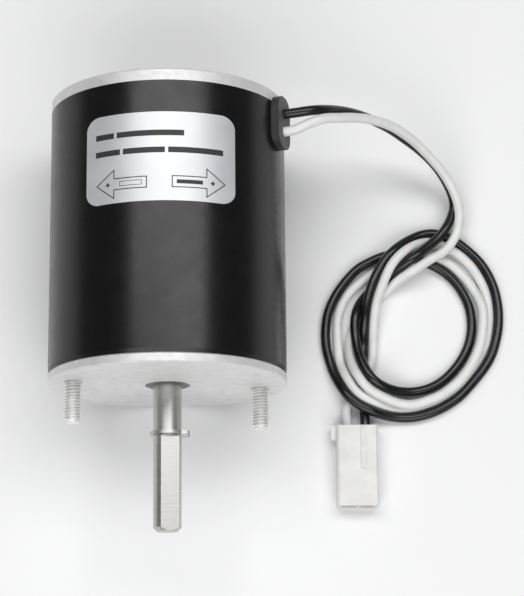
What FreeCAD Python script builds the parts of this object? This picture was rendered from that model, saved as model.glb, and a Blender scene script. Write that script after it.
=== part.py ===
import FreeCAD, Part
import math
import os
import Sketcher
from FreeCAD import Placement, Rotation, Vector

# A brushed permanent-magnet motor for a vent fan, lying on its side.
# Millimetres. X is to the right, Y along the motor from the mounting face to the rear, Z up.
# The origin is the centre of the front mounting face, on the motor's axis.
SIZES = {
    # Can and end plates
    "can_diameter": 54.0,
    "can_wall": 1.6,
    "can_span": 61.3,
    "can_front_roll": 0.9,
    "plate_rim": 2.15,
    "cap_rim": 2.75,
    "spigot_depth": 3.0,
    "spigot_wall": 2.6,
    "spigot_gap": 0.1,
    "edge_break": 0.3,
    "front_hole_diameter": 10.2,
    "boss_wall": 2.0,
    "rear_boss_height": 3.2,
    "rear_boss_wall": 1.8,
    # Through-bolts whose threaded ends are the mounting studs
    "stud_edge_room": 3.9,
    "stud_angle": 12.5,
    "stud_reach": 9.3,
    "stud_diameter": 4.0,
    "bolt_shank": 3.5,
    "bolt_hole_gap": 0.1,
    "tapped_hole_gap": 0.05,
    "thread_relief_depth": 0.5,
    "stud_chamfer": 0.6,
    "bolt_head_break": 0.3,
    "bolt_head_diameter": 7.0,
    "bolt_head_depth": 2.6,
    "bolt_socket_width": 3.0,
    "bolt_socket_depth": 1.5,
    "head_seat_depth": 2.4,
    "head_seat_gap": 0.15,
    "lock_washer_thickness": 0.8,
    "lock_washer_outer": 6.8,
    "lock_washer_split": 0.5,
    # Shaft
    "shaft_diameter": 6.35,
    "shaft_reach": 33.0,
    "flat_depth": 0.8,
    "flat_span": 21.3,
    "flat_angle": 17.0,
    "shaft_chamfer": 0.8,
    "ring_station": 11.05,
    "ring_thickness": 0.7,
    "ring_groove_depth": 0.3,
    "ring_band": 1.0,
    "ring_lug_reach": 1.1,
    "ring_lug_width": 1.5,
    "ring_lug_hole": 0.7,
    "ring_lug_overlap": 0.2,
    "ring_groove_play": 0.03,
    "ring_gap_angle": 30.0,
    "ring_side_gap": 0.05,
    "shaft_rear_break": 0.5,
    "shaft_rear_room": 0.1,
    "running_gap": 0.05,
    # Self-aligning sleeve bearings
    "bush_sphere": 13.0,
    "bush_span": 7.4,
    "bush_recess": 2.8,
    "seat_contact": 12.0,
    "seat_gap": 0.04,
    "seat_mouth_reach": 0.45,
    "bush_end_room": 0.2,
    "felt_shift": 0.5,
    "pocket_spare": 1.0,
    "felt_diameter": 20.0,
    "felt_thickness": 2.3,
    "felt_gap": 0.1,
    "retainer_thickness": 0.4,
    "retainer_slots": 6,
    "retainer_slot_width": 1.6,
    "retainer_slot_depth": 6.0,
    "retainer_slot_reach": 0.8,
    "retainer_rim_gap": 0.05,
    "retainer_tip_room": 0.35,
    "retainer_tip_gap": 0.1,
    "retainer_tip_slope": 0.15,
    "retainer_ring_gap": 0.2,
    # Rotor
    "core_front": 19.0,
    "air_gap": 0.75,
    "slot_count": 12,
    "slot_mouth": 1.8,
    "tooth_tip": 1.0,
    "tooth_slope": 0.8,
    "slot_bottom_diameter": 17.0,
    "slot_inner_width": 1.9,
    "slot_outer_width": 5.4,
    "end_sheet": 0.8,
    "wire_room": 0.2,
    "end_turn_span": 3.9,
    "end_turn_inner": 10.0,
    "end_turn_round": 1.4,
    "commutator_diameter": 17.0,
    "commutator_span": 8.4,
    "riser_span": 1.2,
    "riser_height": 0.9,
    "bar_depth": 2.3,
    "bar_gap": 0.5,
    "hub_overhang": 0.7,
    "hub_front_lip": 0.6,
    "hub_rim_drop": 0.8,
    "hub_rim_slope": 0.4,
    "hub_to_winding": 0.1,
    "washer_diameter": 10.0,
    "washer_gap": 0.1,
    "steel_washer": 0.4,
    "spacer_wall": 1.4,
    "wave_height": 0.7,
    "wave_sheet": 0.2,
    "wave_play": 0.05,
    "wave_edge_room": 0.3,
    "wave_bore_gap": 0.15,
    "wave_count": 3,
    # Magnets and their clips
    "magnet_front": 12.0,
    "magnet_rear_room": 3.2,
    "magnet_thickness": 6.5,
    "magnet_arc": 138.0,
    "magnet_seat": 0.15,
    "clip_thickness": 0.5,
    "clip_lip": 3.0,
    "clip_gap": 0.1,
    "clip_end_room": 2.0,
    # Brush gear
    "brush_plate_thickness": 1.5,
    "stand_off_span": 0.55,
    "brush_plate_gap": 0.5,
    "brush_plate_bore": 21.0,
    "brush_plate_bolt_gap": 0.6,
    "brush_plate_notch_room": 2.5,
    "brush_plate_notch_gap": 1.0,
    "brush_axial": 6.0,
    "brush_tangential": 5.0,
    "brush_spring_room": 3.7,
    "brush_gap": 0.1,
    "holder_wall": 0.5,
    "holder_room": 0.1,
    "holder_stand_off": 1.0,
    "holder_edge_room": 3.6,
    "holder_foot": 2.6,
    "shunt_slot": 1.6,
    "shunt_diameter": 1.0,
    "shunt_rise": 3.2,
    "shunt_near": 1.0,
    "shunt_far": 1.8,
    "shunt_return": 1.2,
    "shunt_end_room": 0.55,
    "brush_spring_wire": 0.5,
    "brush_spring_diameter": 3.8,
    "brush_spring_turns": 3.5,
    "brush_spring_gap": 0.05,
    "plate_screw_edge_room": 6.4,
    "stand_off_turn": 45.0,
    "plate_screw_diameter": 2.5,
    "plate_screw_span": 6.0,
    "plate_screw_head": 4.6,
    "plate_screw_head_depth": 1.6,
    "plate_screw_head_break": 0.5,
    "plate_screw_tip_break": 0.4,
    "plate_screw_hole_gap": 0.1,
    "plate_screw_thread_gap": 0.05,
    "plate_screw_tip_room": 0.3,
    "plate_screw_slot_width": 0.6,
    "plate_screw_slot_length": 2.6,
    "plate_screw_slot_depth": 0.7,
    "stand_off_diameter": 6.0,
    # Grommet, label and leads
    "grommet_angle": 70.0,
    "grommet_length": 12.2,
    "grommet_width": 8.0,
    "grommet_stand": 1.6,
    "grommet_lip_round": 3.2,
    "grommet_neck_length": 9.0,
    "grommet_neck_width": 5.6,
    "grommet_overlap": 1.65,
    "grommet_inner_lip": 1.2,
    "grommet_seat_gap": 0.03,
    "grommet_lip_front": 1.2,
    "grommet_lip_rear": 0.1,
    "grommet_relief_gap": 0.2,
    "notch_gap": 0.05,
    "lead_diameter": 2.3,
    "lead_pitch": 4.2,
    "lead_hole_gap": 0.05,
    "lead_straight": 3.8,
    "inner_white_drop": 4.8,
    "inner_bend_drop": 5.8,
    "inner_lead_drop": 6.0,
    "inner_white_turn": 25.0,
    "inner_white_approach": 5.0,
    "inner_white_shift": 0.9,
    "inner_white_station": 1.4,
    "inner_black_ring": 5.7,
    "inner_black_turn": 26.0,
    "inner_black_step": 32.0,
    "inner_black_shift": 0.6,
    "inner_black_end": 1.2,
    "inner_lead_gap": 0.05,
    "label_front": 35.7,
    "label_span": 20.3,
    "label_arc": 74.5,
    "label_turn": 2.3,
    "label_thickness": 0.12,
    "label_corner": 3.0,
    # Coiled lead and its connector
    "coil_center_x": 57.8,
    "coil_center_y": 19.3,
    "coil_outer_x": 22.0,
    "coil_outer_y": 23.3,
    "coil_hole_x": 10.8,
    "coil_hole_y": 14.2,
    "coil_hole_shift_x": 2.0,
    "coil_hole_shift_y": -1.2,
    "coil_height": 4.6,
    "coil_round": 1.1,
    "plug_rear": -5.4,
    "plug_length": 19.0,
    "plug_width": 9.7,
    "plug_height": 5.6,
    "plug_center_x": 44.0,
    "plug_edge": 0.5,
    "cavity_width": 3.5,
    "cavity_depth": 12.0,
    "cavity_corner": 0.8,
    "wire_hole": 2.8,
    "contact_thickness": 0.3,
    "contact_span": 9.0,
    "contact_diameter": 2.6,
    "contact_setback": 3.6,
    "contact_seam": 0.3,
    "contact_end": 1.0,
    "white_tail_start": 5.4,
    "black_tail_start": 2.4,
    "latch_width": 2.6,
    "latch_length": 14.0,
    "latch_thickness": 0.9,
    "latch_gap": 0.7,
    "latch_slit": 0.5,
    "thumb_reach": 1.3,
    "thumb_root": 0.4,
    "thumb_length": 3.3,
    "rib_setback": 0.5,
    "rib_shift": 1.4,
    "rib_length": 9.8,
    "rib_width": 1.1,
    "rib_height": 0.4,
}

# How far a cutting shape runs past the surface that it cuts
OVERCUT = 1.0

doc = FreeCAD.newDocument("vent_fan_motor")
sheet = doc.addObject("Spreadsheet::Sheet", "dims")
for row, (alias, number) in enumerate(SIZES.items(), start=1):
    sheet.set(f"A{row}", alias)
    sheet.set(f"B{row}", str(number))
    sheet.setAlias(f"B{row}", alias)
doc.recompute()


class Size:
    """A length or count that carries its value and the spreadsheet formula behind it."""

    def __init__(self, value, text):
        self.value = value
        self.text = text

    def __add__(self, other):
        other = as_size(other)
        return Size(self.value + other.value, f"({self.text} + {other.text})")

    def __sub__(self, other):
        other = as_size(other)
        return Size(self.value - other.value, f"({self.text} - {other.text})")

    def __mul__(self, other):
        other = as_size(other)
        return Size(self.value * other.value, f"({self.text} * {other.text})")

    def __truediv__(self, other):
        other = as_size(other)
        return Size(self.value / other.value, f"({self.text} / {other.text})")

    def __neg__(self):
        return Size(-self.value, f"(-{self.text})")


def as_size(number):
    """Wrap a plain number so that it can join a formula."""
    if isinstance(number, Size):
        return number
    return Size(float(number), f"({float(number)})")


def root(size):
    """The square root of a size."""
    return Size(math.sqrt(size.value), f"sqrt({size.text})")


def dim(alias):
    """The named cell of the spreadsheet."""
    return Size(float(sheet.get(alias)), f"dims.{alias}")


def bind(thing, prop, size):
    """Set a property and tie it to its formula."""
    size = as_size(size)
    path = prop.split(".")
    if len(path) == 1:
        setattr(thing, prop, size.value)
    thing.setExpression(prop, size.text)


ZERO = as_size(0)

# Stations along the axis and radii that several pieces share
can_radius = dim("can_diameter") / 2
can_bore = can_radius - dim("can_wall")
can_front = dim("plate_rim")
can_rear = can_front + dim("can_span")
cap_rear = can_rear + dim("cap_rim")
spigot_radius = can_bore - dim("spigot_gap")
shaft_radius = dim("shaft_diameter") / 2
stud_ring = can_bore - dim("stud_edge_room")
stud_radius = dim("stud_diameter") / 2
bolt_hole_radius = stud_radius + dim("bolt_hole_gap")
tapped_hole_radius = dim("bolt_shank") / 2 + dim("tapped_hole_gap")
bush_radius = dim("bush_sphere") / 2
front_bush_middle = dim("bush_recess") + dim("bush_span") / 2
boss_end = cap_rear + dim("rear_boss_height")
rear_floor = boss_end - dim("rear_boss_wall")
rear_bush_middle = rear_floor - dim("bush_end_room") - dim("bush_span") / 2
rear_bush_front = rear_bush_middle - dim("bush_span") / 2
retainer_start = dim("felt_thickness") - dim("felt_shift")
pocket_reach = retainer_start + dim("retainer_thickness") + dim("pocket_spare")
felt_radius = dim("felt_diameter") / 2
boss_radius = felt_radius + dim("boss_wall")
core_radius = can_bore - dim("magnet_seat") - dim("magnet_thickness") - dim("air_gap")
commutator_radius = dim("commutator_diameter") / 2
wave_front = rear_bush_front - dim("wave_play") - dim("wave_height")
hub_rear = wave_front - dim("wave_play") - dim("steel_washer") - dim("washer_gap")
commutator_rear = hub_rear - dim("hub_overhang")
commutator_front = commutator_rear - dim("commutator_span")
riser_front = commutator_front - dim("riser_span")
hub_front = riser_front - dim("hub_front_lip")
core_rear = hub_front - dim("hub_to_winding") - dim("end_turn_span") - dim("end_sheet")
plate_rear_face = can_rear - dim("spigot_depth") - dim("stand_off_span")
plate_front_face = plate_rear_face - dim("brush_plate_thickness")
holder_half_depth = dim("brush_axial") / 2 + dim("holder_wall") + dim("holder_room")
brush_middle = plate_front_face - holder_half_depth
magnet_rear = brush_middle - holder_half_depth - dim("magnet_rear_room")
magnet_span = magnet_rear - dim("magnet_front")
holder_reach = can_bore - dim("holder_edge_room")
brush_foot = commutator_radius + dim("brush_gap")
brush_head = holder_reach - dim("holder_wall") - dim("brush_spring_room")
plate_screw_ring = can_bore - dim("plate_screw_edge_room")
grommet_face = can_radius + dim("grommet_stand")
grommet_rear = can_rear + dim("grommet_overlap")
grommet_middle = grommet_rear - dim("grommet_length") / 2
lead_radius = dim("lead_diameter") / 2
floor_height = -can_radius


def new_body(label):
    """An empty PartDesign body whose label names its file."""
    body = doc.addObject("PartDesign::Body", label)
    body.Label = label
    return body


def origin_plane(body, role):
    """One of the body's own origin planes."""
    return next(plane for plane in body.Origin.OriginFeatures if plane.Role == role)


def sketch_along(body, name):
    """A sketch in the plane of the motor's axis: across is the radius, up is the station."""
    sketch = body.newObject("Sketcher::SketchObject", name)
    sketch.AttachmentSupport = [(origin_plane(body, "XY_Plane"), "")]
    sketch.MapMode = "FlatFace"
    return sketch


def sketch_across(body, name, station, turn=0.0):
    """A sketch square to the motor's axis, with its upright turned clockwise from the top."""
    sketch = body.newObject("Sketcher::SketchObject", name)
    sketch.AttachmentSupport = [(origin_plane(body, "XZ_Plane"), "")]
    sketch.MapMode = "FlatFace"
    station = as_size(station)
    turn = as_size(turn)
    rotation = Rotation(Vector(0, 0, 1), -turn.value)
    sketch.AttachmentOffset = Placement(Vector(0, 0, -station.value), rotation)
    sketch.setExpression(".AttachmentOffset.Base.z", (-station).text)
    return sketch


def sketch_level(body, name, height):
    """A sketch square to the body's own upright, at a height."""
    sketch = body.newObject("Sketcher::SketchObject", name)
    sketch.AttachmentSupport = [(origin_plane(body, "XY_Plane"), "")]
    sketch.MapMode = "FlatFace"
    height = as_size(height)
    sketch.AttachmentOffset = Placement(Vector(0, 0, height.value), Rotation())
    sketch.setExpression(".AttachmentOffset.Base.z", height.text)
    return sketch


def place_point(sketch, edge, end, along, up):
    """Hold one point of a sketch at its two formulas."""
    for kind, size, axis in (("DistanceX", along, -2), ("DistanceY", up, -1)):
        size = as_size(size)
        if abs(size.value) < 1e-9:
            sketch.addConstraint(Sketcher.Constraint("PointOnObject", edge, end, axis))
            continue
        index = sketch.addConstraint(Sketcher.Constraint(kind, -1, 1, edge, end, size.value))
        sketch.setExpression(f"Constraints[{index}]", size.text)


def draw_outline(sketch, points):
    """A closed outline of straight edges whose corners are all tied to formulas."""
    corners = [(as_size(along), as_size(up)) for along, up in points]
    flat = [Vector(along.value, up.value, 0) for along, up in corners]
    first = None
    for index, start in enumerate(flat):
        finish = flat[(index + 1) % len(flat)]
        edge = sketch.addGeometry(Part.LineSegment(start, finish), False)
        first = edge if first is None else first
    count = len(flat)
    for index in range(count):
        following = first + (index + 1) % count
        sketch.addConstraint(Sketcher.Constraint("Coincident", first + index, 2, following, 1))
    for index, (along, up) in enumerate(corners):
        place_point(sketch, first + index, 1, along, up)


def draw_box(sketch, half_width, low, high):
    """A rectangle centred on the sketch's upright."""
    half_width = as_size(half_width)
    draw_outline(sketch, [(-half_width, low), (half_width, low), (half_width, high), (-half_width, high)])


def draw_circle(sketch, along, up, radius):
    """A circle tied to formulas."""
    along = as_size(along)
    up = as_size(up)
    radius = as_size(radius)
    circle = Part.Circle(Vector(along.value, up.value, 0), Vector(0, 0, 1), radius.value)
    edge = sketch.addGeometry(circle, False)
    index = sketch.addConstraint(Sketcher.Constraint("Radius", edge, radius.value))
    sketch.setExpression(f"Constraints[{index}]", radius.text)
    place_point(sketch, edge, 3, along, up)


def revolve(body, name, points, cut=False):
    """Turn an outline of (radius, station) points about the motor's axis."""
    sketch = sketch_along(body, f"{name}_outline")
    draw_outline(sketch, points)
    kind = "PartDesign::Groove" if cut else "PartDesign::Revolution"
    feature = body.newObject(kind, name)
    feature.Profile = sketch
    feature.ReferenceAxis = (sketch, ["V_Axis"])
    feature.Angle = 360.0
    sketch.Visibility = False
    return feature


def pad(body, name, sketch, length, backwards=True):
    """Extrude a sketch; backwards runs towards the motor's rear for a sketch across it."""
    feature = body.newObject("PartDesign::Pad", name)
    feature.Profile = sketch
    feature.Reversed = backwards
    bind(feature, "Length", length)
    sketch.Visibility = False
    return feature


def pocket(body, name, sketch, length, backwards=False):
    """Cut a sketch into a body; the plain direction runs against the sketch's normal."""
    feature = body.newObject("PartDesign::Pocket", name)
    feature.Profile = sketch
    feature.Reversed = backwards
    bind(feature, "Length", length)
    sketch.Visibility = False
    return feature


def round_pattern(body, name, feature, sketch, count):
    """Repeat a feature about the sketch's normal."""
    pattern = body.newObject("PartDesign::PolarPattern", name)
    pattern.Originals = [feature]
    pattern.Axis = (sketch, ["N_Axis"])
    pattern.Angle = 360.0
    pattern.Occurrences = int(count.value)
    pattern.setExpression("Occurrences", count.text)
    body.Tip = pattern
    return pattern


def group(label, members):
    """Several like solids that share one node."""
    compound = doc.addObject("Part::Compound", label)
    compound.Label = label
    compound.Links = members
    return compound


def along_axis(thing, station):
    """Lay a primitive's own upright along the motor's axis, with its foot at a station."""
    station = as_size(station)
    thing.Placement = Placement(Vector(0, station.value, 0), Rotation(Vector(1, 0, 0), -90))
    thing.setExpression(".Placement.Base.y", station.text)


def tube_blank(name, outer, inner, start, length):
    """A plain ring about the motor's axis, as two cylinders and a cut."""
    wall = doc.addObject("Part::Cylinder", f"{name}_wall")
    bind(wall, "Radius", outer)
    bind(wall, "Height", length)
    along_axis(wall, start)
    bore = doc.addObject("Part::Cylinder", f"{name}_bore")
    bind(bore, "Radius", inner)
    bind(bore, "Height", as_size(length) + 2 * OVERCUT)
    along_axis(bore, as_size(start) - OVERCUT)
    ring = doc.addObject("Part::Cut", name)
    ring.Base = wall
    ring.Tool = bore
    return ring


def washer(label, outer, inner, start, thickness):
    """A flat ring on the motor's axis."""
    ring = tube_blank(label, outer, inner, start, thickness)
    ring.Label = label
    return ring


def radial(angle, distance, station):
    """A point at an angle clockwise from the top, seen from the front."""
    turn = math.radians(angle)
    return Vector(distance * math.sin(turn), station, distance * math.cos(turn))


def stud_side(sign):
    """How far a bolt is turned clockwise from the top: the left one stands higher."""
    return as_size(90) + dim("stud_angle") if sign > 0 else dim("stud_angle") - 90


def plate_screw_angle(side):
    """How far a brush plate screw is turned clockwise from the top."""
    return stud_side(1) + dim("stand_off_turn") + (180 if side else 0)


def cut_bolt_holes(body, name, radius, start, length):
    """Two round cuts at the through-bolts."""
    sketch = sketch_across(body, f"{name}_circles", start, stud_side(1))
    draw_circle(sketch, 0, stud_ring, radius)
    draw_circle(sketch, 0, -stud_ring, radius)
    return pocket(body, name, sketch, length)


def cone_radius(away):
    """The bush seat's radius at a distance from the bush's middle: a cone that touches its sphere."""
    contact = dim("seat_contact") / 2
    rise = root(bush_radius * bush_radius - contact * contact)
    return (bush_radius * bush_radius - rise * away) / contact + dim("seat_gap")


def sphere_radius(away):
    """The bush's own radius at a distance from its middle."""
    away = as_size(away)
    return root(bush_radius * bush_radius - away * away)


# Casing


def make_can():
    """The drawn tube, with a rolled front edge and a notch for the grommet in its rear edge."""
    body = new_body("can")
    roll = dim("can_front_roll")
    revolve(body, "can_wall", [
        (can_bore, can_front),
        (can_radius - roll / 2, can_front),
        (can_radius, can_front + roll),
        (can_radius, can_rear),
        (can_bore, can_rear)])
    notch = sketch_along(body, "notch_outline")
    notch.AttachmentOffset = Placement(Vector(), Rotation(Vector(0, 1, 0), dim("grommet_angle").value))
    low = can_rear - dim("grommet_neck_length") - dim("notch_gap")
    draw_box(notch, dim("grommet_neck_width") / 2 + dim("notch_gap"), low, can_rear + OVERCUT)
    pocket(body, "grommet_notch", notch, can_radius + 2 * OVERCUT, backwards=True)
    return body


def make_front_plate():
    """The mounting plate: rim, spigot, bearing boss, shaft hole and two bolt holes."""
    body = new_body("front_plate")
    edge = dim("edge_break")
    spigot_end = can_front + dim("spigot_depth")
    spigot_inner = spigot_radius - dim("spigot_wall")
    seat_mouth = dim("bush_span") / 2 + dim("seat_mouth_reach")
    pocket_floor = front_bush_middle - dim("felt_shift")
    pocket_mouth = front_bush_middle + pocket_reach
    revolve(body, "plate_blank", [
        (dim("front_hole_diameter") / 2, 0),
        (can_radius - edge, 0),
        (can_radius, edge),
        (can_radius, can_front - edge),
        (can_radius - edge, can_front),
        (spigot_radius, can_front),
        (spigot_radius, spigot_end - edge),
        (spigot_radius - edge, spigot_end),
        (spigot_inner, spigot_end),
        (spigot_inner, can_front),
        (boss_radius, can_front),
        (boss_radius, pocket_mouth),
        (felt_radius, pocket_mouth),
        (felt_radius, pocket_floor),
        (cone_radius(dim("felt_shift")), pocket_floor),
        (cone_radius(seat_mouth), front_bush_middle - seat_mouth),
        (dim("front_hole_diameter") / 2, front_bush_middle - seat_mouth)])
    cut_bolt_holes(body, "plate_bolt_holes", tapped_hole_radius, -1,
                   can_front + dim("spigot_depth") + 2 * OVERCUT)
    cut_bolt_holes(body, "thread_reliefs", bolt_hole_radius, -1, dim("thread_relief_depth") + OVERCUT)
    return body


def make_rear_cap():
    """The rear cap: rim, spigot, closed bearing boss, sunk bolt seats and two stand-offs."""
    body = new_body("rear_cap")
    edge = dim("edge_break")
    spigot_end = can_rear - dim("spigot_depth")
    spigot_inner = spigot_radius - dim("spigot_wall")
    pocket_floor = rear_bush_middle + dim("felt_shift")
    pocket_mouth = rear_bush_middle - pocket_reach
    outer_boss = bush_radius + dim("rear_boss_wall")
    revolve(body, "cap_blank", [
        (0, boss_end),
        (outer_boss - edge, boss_end),
        (outer_boss, boss_end - edge),
        (outer_boss, cap_rear),
        (can_radius - edge, cap_rear),
        (can_radius, cap_rear - edge),
        (can_radius, can_rear),
        (spigot_radius, can_rear),
        (spigot_radius, spigot_end + edge),
        (spigot_radius - edge, spigot_end),
        (spigot_inner, spigot_end),
        (spigot_inner, can_rear),
        (boss_radius, can_rear),
        (boss_radius, pocket_mouth),
        (felt_radius, pocket_mouth),
        (felt_radius, pocket_floor),
        (cone_radius(dim("felt_shift")), pocket_floor),
        (cone_radius(rear_floor - rear_bush_middle), rear_floor),
        (0, rear_floor)])
    posts = sketch_across(body, "stand_off_circles", plate_rear_face, plate_screw_angle(0))
    draw_circle(posts, 0, plate_screw_ring, dim("stand_off_diameter") / 2)
    draw_circle(posts, 0, -plate_screw_ring, dim("stand_off_diameter") / 2)
    pad(body, "stand_offs", posts, can_rear - plate_rear_face + dim("cap_rim") / 2)
    screws = sketch_across(body, "screw_hole_circles", plate_rear_face, plate_screw_angle(0))
    screw_hole = dim("plate_screw_diameter") / 2 + dim("plate_screw_thread_gap")
    draw_circle(screws, 0, plate_screw_ring, screw_hole)
    draw_circle(screws, 0, -plate_screw_ring, screw_hole)
    pocket(body, "screw_holes", screws, dim("plate_screw_span") - dim("brush_plate_thickness")
           + dim("plate_screw_tip_room"))
    cut_bolt_holes(body, "cap_bolt_holes", bolt_hole_radius, spigot_end - OVERCUT,
                   boss_end - spigot_end + 2 * OVERCUT)
    seat = cap_rear - dim("head_seat_depth")
    cut_bolt_holes(body, "head_seats", dim("bolt_head_diameter") / 2 + dim("head_seat_gap"), seat,
                   dim("head_seat_depth") + OVERCUT)
    relief = sketch_across(body, "grommet_relief_outline", spigot_end - OVERCUT, dim("grommet_angle"))
    draw_box(relief, dim("grommet_width") / 2 + dim("grommet_relief_gap"), spigot_inner - OVERCUT,
             can_bore + dim("spigot_gap"))
    pocket(body, "grommet_relief", relief, dim("spigot_depth") + OVERCUT)
    return body


def make_bolt(name, sign):
    """One through-bolt: a socket head at the rear, a shank screwed through the front plate, and a stud."""
    body = new_body(name)
    seat = cap_rear - dim("head_seat_depth") + dim("lock_washer_thickness")
    head_end = seat + dim("bolt_head_depth")
    shank = dim("bolt_shank") / 2
    head = dim("bolt_head_diameter") / 2
    revolve(body, f"{name}_turned", [
        (0, -dim("stud_reach")),
        (stud_radius - dim("stud_chamfer"), -dim("stud_reach")),
        (stud_radius, -dim("stud_reach") + dim("stud_chamfer")),
        (stud_radius, 0),
        (shank, 0),
        (shank, seat),
        (head, seat),
        (head, head_end - dim("bolt_head_break")),
        (head - dim("bolt_head_break"), head_end),
        (0, head_end)])
    socket = sketch_across(body, f"{name}_hexagon", head_end - dim("bolt_socket_depth"))
    corner = dim("bolt_socket_width") / math.sqrt(3)
    points = []
    for step in range(6):
        turn = math.radians(60 * step)
        points.append((corner * round(math.cos(turn), 9), corner * round(math.sin(turn), 9)))
    draw_outline(socket, points)
    pocket(body, f"{name}_socket", socket, dim("bolt_socket_depth") + OVERCUT)
    spot = radial(stud_side(sign).value, stud_ring.value, 0)
    body.Placement = Placement(spot, Rotation())
    return body


def make_lock_washer(name, sign):
    """A split spring washer under one bolt head."""
    seat = cap_rear - dim("head_seat_depth")
    ring = tube_blank(f"{name}_ring", dim("lock_washer_outer") / 2, bolt_hole_radius, seat,
                      dim("lock_washer_thickness"))
    split = doc.addObject("Part::Box", f"{name}_split")
    bind(split, "Length", dim("lock_washer_outer"))
    bind(split, "Width", dim("lock_washer_thickness") + 2 * OVERCUT)
    bind(split, "Height", dim("lock_washer_split"))
    split.Placement = Placement(Vector(0, seat.value - OVERCUT, 0), Rotation())
    cut = doc.addObject("Part::Cut", name)
    cut.Base = ring
    cut.Tool = split
    cut.Placement = Placement(radial(stud_side(sign).value, stud_ring.value, 0), Rotation())
    return cut


# Bearings


def make_bush(label, middle):
    """A sintered bush with a spherical outside that lines itself up in its seat."""
    ball = doc.addObject("Part::Sphere", f"{label}_ball")
    bind(ball, "Radius", bush_radius)
    along_axis(ball, middle)
    slab = tube_blank(f"{label}_slab", bush_radius + OVERCUT, shaft_radius + dim("running_gap"),
                      middle - dim("bush_span") / 2, dim("bush_span"))
    bush = doc.addObject("Part::Common", label)
    bush.Base = ball
    bush.Tool = slab
    bush.Label = label
    return bush


def make_felt(label, middle, toward):
    """The oiled felt ring round a bush."""
    start = middle - dim("felt_shift") if toward > 0 else middle - retainer_start
    return washer(label, felt_radius - dim("felt_gap"), bush_radius + dim("felt_gap"), start,
                  dim("felt_thickness"))


def make_retainer(label, middle, toward):
    """A pressed spring disc whose slotted cone holds the bush against its seat."""
    body = new_body(label)
    sheet_metal = dim("retainer_thickness")
    tip = dim("bush_span") / 2 - dim("retainer_tip_room")
    tip_radius = sphere_radius(tip) + dim("retainer_tip_gap")
    ring_radius = sphere_radius(retainer_start) + dim("retainer_ring_gap")
    rim_radius = felt_radius - dim("retainer_rim_gap")
    revolve(body, f"{label}_pressed", [
        (ring_radius, middle + retainer_start * toward),
        (rim_radius, middle + retainer_start * toward),
        (rim_radius, middle + (retainer_start + sheet_metal) * toward),
        (ring_radius + sheet_metal, middle + (retainer_start + sheet_metal) * toward),
        (tip_radius + sheet_metal, middle + (tip + dim("retainer_tip_slope")) * toward),
        (tip_radius, middle + tip * toward)])
    depth = dim("retainer_slot_depth")
    slots = sketch_across(body, f"{label}_slot", middle if toward > 0 else middle - depth)
    draw_box(slots, dim("retainer_slot_width") / 2, tip_radius - OVERCUT,
             ring_radius + dim("retainer_slot_reach"))
    cut = pocket(body, f"{label}_slot_cut", slots, depth)
    round_pattern(body, f"{label}_slots", cut, slots, dim("retainer_slots"))
    return body


# Rotor


def make_shaft():
    """The shaft: chamfered tip, flat for the fan's hub and a groove for the ring."""
    body = new_body("shaft")
    tip = -dim("shaft_reach")
    chamfer = dim("shaft_chamfer")
    groove_front = -dim("ring_station") - dim("ring_thickness") / 2 - dim("ring_side_gap")
    groove_rear = -dim("ring_station") + dim("ring_thickness") / 2 + dim("ring_side_gap")
    groove = shaft_radius - dim("ring_groove_depth")
    rear = rear_bush_middle + dim("bush_span") / 2 - dim("shaft_rear_room")
    rear_break = dim("shaft_rear_break")
    revolve(body, "shaft_turned", [
        (0, tip),
        (shaft_radius - chamfer, tip),
        (shaft_radius, tip + chamfer),
        (shaft_radius, groove_front),
        (groove, groove_front),
        (groove, groove_rear),
        (shaft_radius, groove_rear),
        (shaft_radius, rear - rear_break),
        (shaft_radius - rear_break, rear),
        (0, rear)])
    flat = sketch_across(body, "flat_outline", tip - OVERCUT, dim("flat_angle"))
    draw_box(flat, shaft_radius + OVERCUT, shaft_radius - dim("flat_depth"), shaft_radius + OVERCUT)
    pocket(body, "flat_cut", flat, dim("flat_span") + OVERCUT)
    return body


def make_retaining_ring():
    """The external spring ring in its groove, with two drilled lugs beside its gap."""
    thickness = dim("ring_thickness").value
    inner = shaft_radius.value - dim("ring_groove_depth").value + dim("ring_groove_play").value
    outer = inner + dim("ring_band").value
    station = -dim("ring_station").value - thickness / 2
    reach = dim("ring_lug_reach").value
    half_gap = math.radians(dim("ring_gap_angle").value / 2)
    rear = Vector(0, 1, 0)
    base = Vector(0, station, 0)
    ring = Part.makeCylinder(outer, thickness, base, rear)
    for side in (-1, 1):
        lug_middle = outer + reach / 2 - dim("ring_lug_overlap").value
        offset = side * (math.sin(half_gap) * outer + dim("ring_lug_width").value / 2)
        spot = Vector(lug_middle, station, offset)
        ring = ring.fuse(Part.makeCylinder(dim("ring_lug_width").value / 2, thickness, spot, rear))
        block = Part.makeBox(reach, thickness, dim("ring_lug_width").value,
                             Vector(lug_middle - reach, station, offset - dim("ring_lug_width").value / 2))
        ring = ring.fuse(block)
        hole = Part.makeCylinder(dim("ring_lug_hole").value / 2, thickness + 2 * OVERCUT, spot - rear, rear)
        ring = ring.cut(hole)
    ring = ring.cut(Part.makeCylinder(inner, thickness + 2 * OVERCUT, base - rear, rear))
    mouth = math.sin(half_gap) * outer
    ring = ring.cut(Part.makeBox(outer + reach, thickness + 2 * OVERCUT, 2 * mouth,
                                 Vector(0, station - OVERCUT, -mouth)))
    feature = doc.addObject("Part::Feature", "retaining_ring")
    feature.Label = "retaining_ring"
    feature.Shape = ring.removeSplitter()
    return feature


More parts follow.
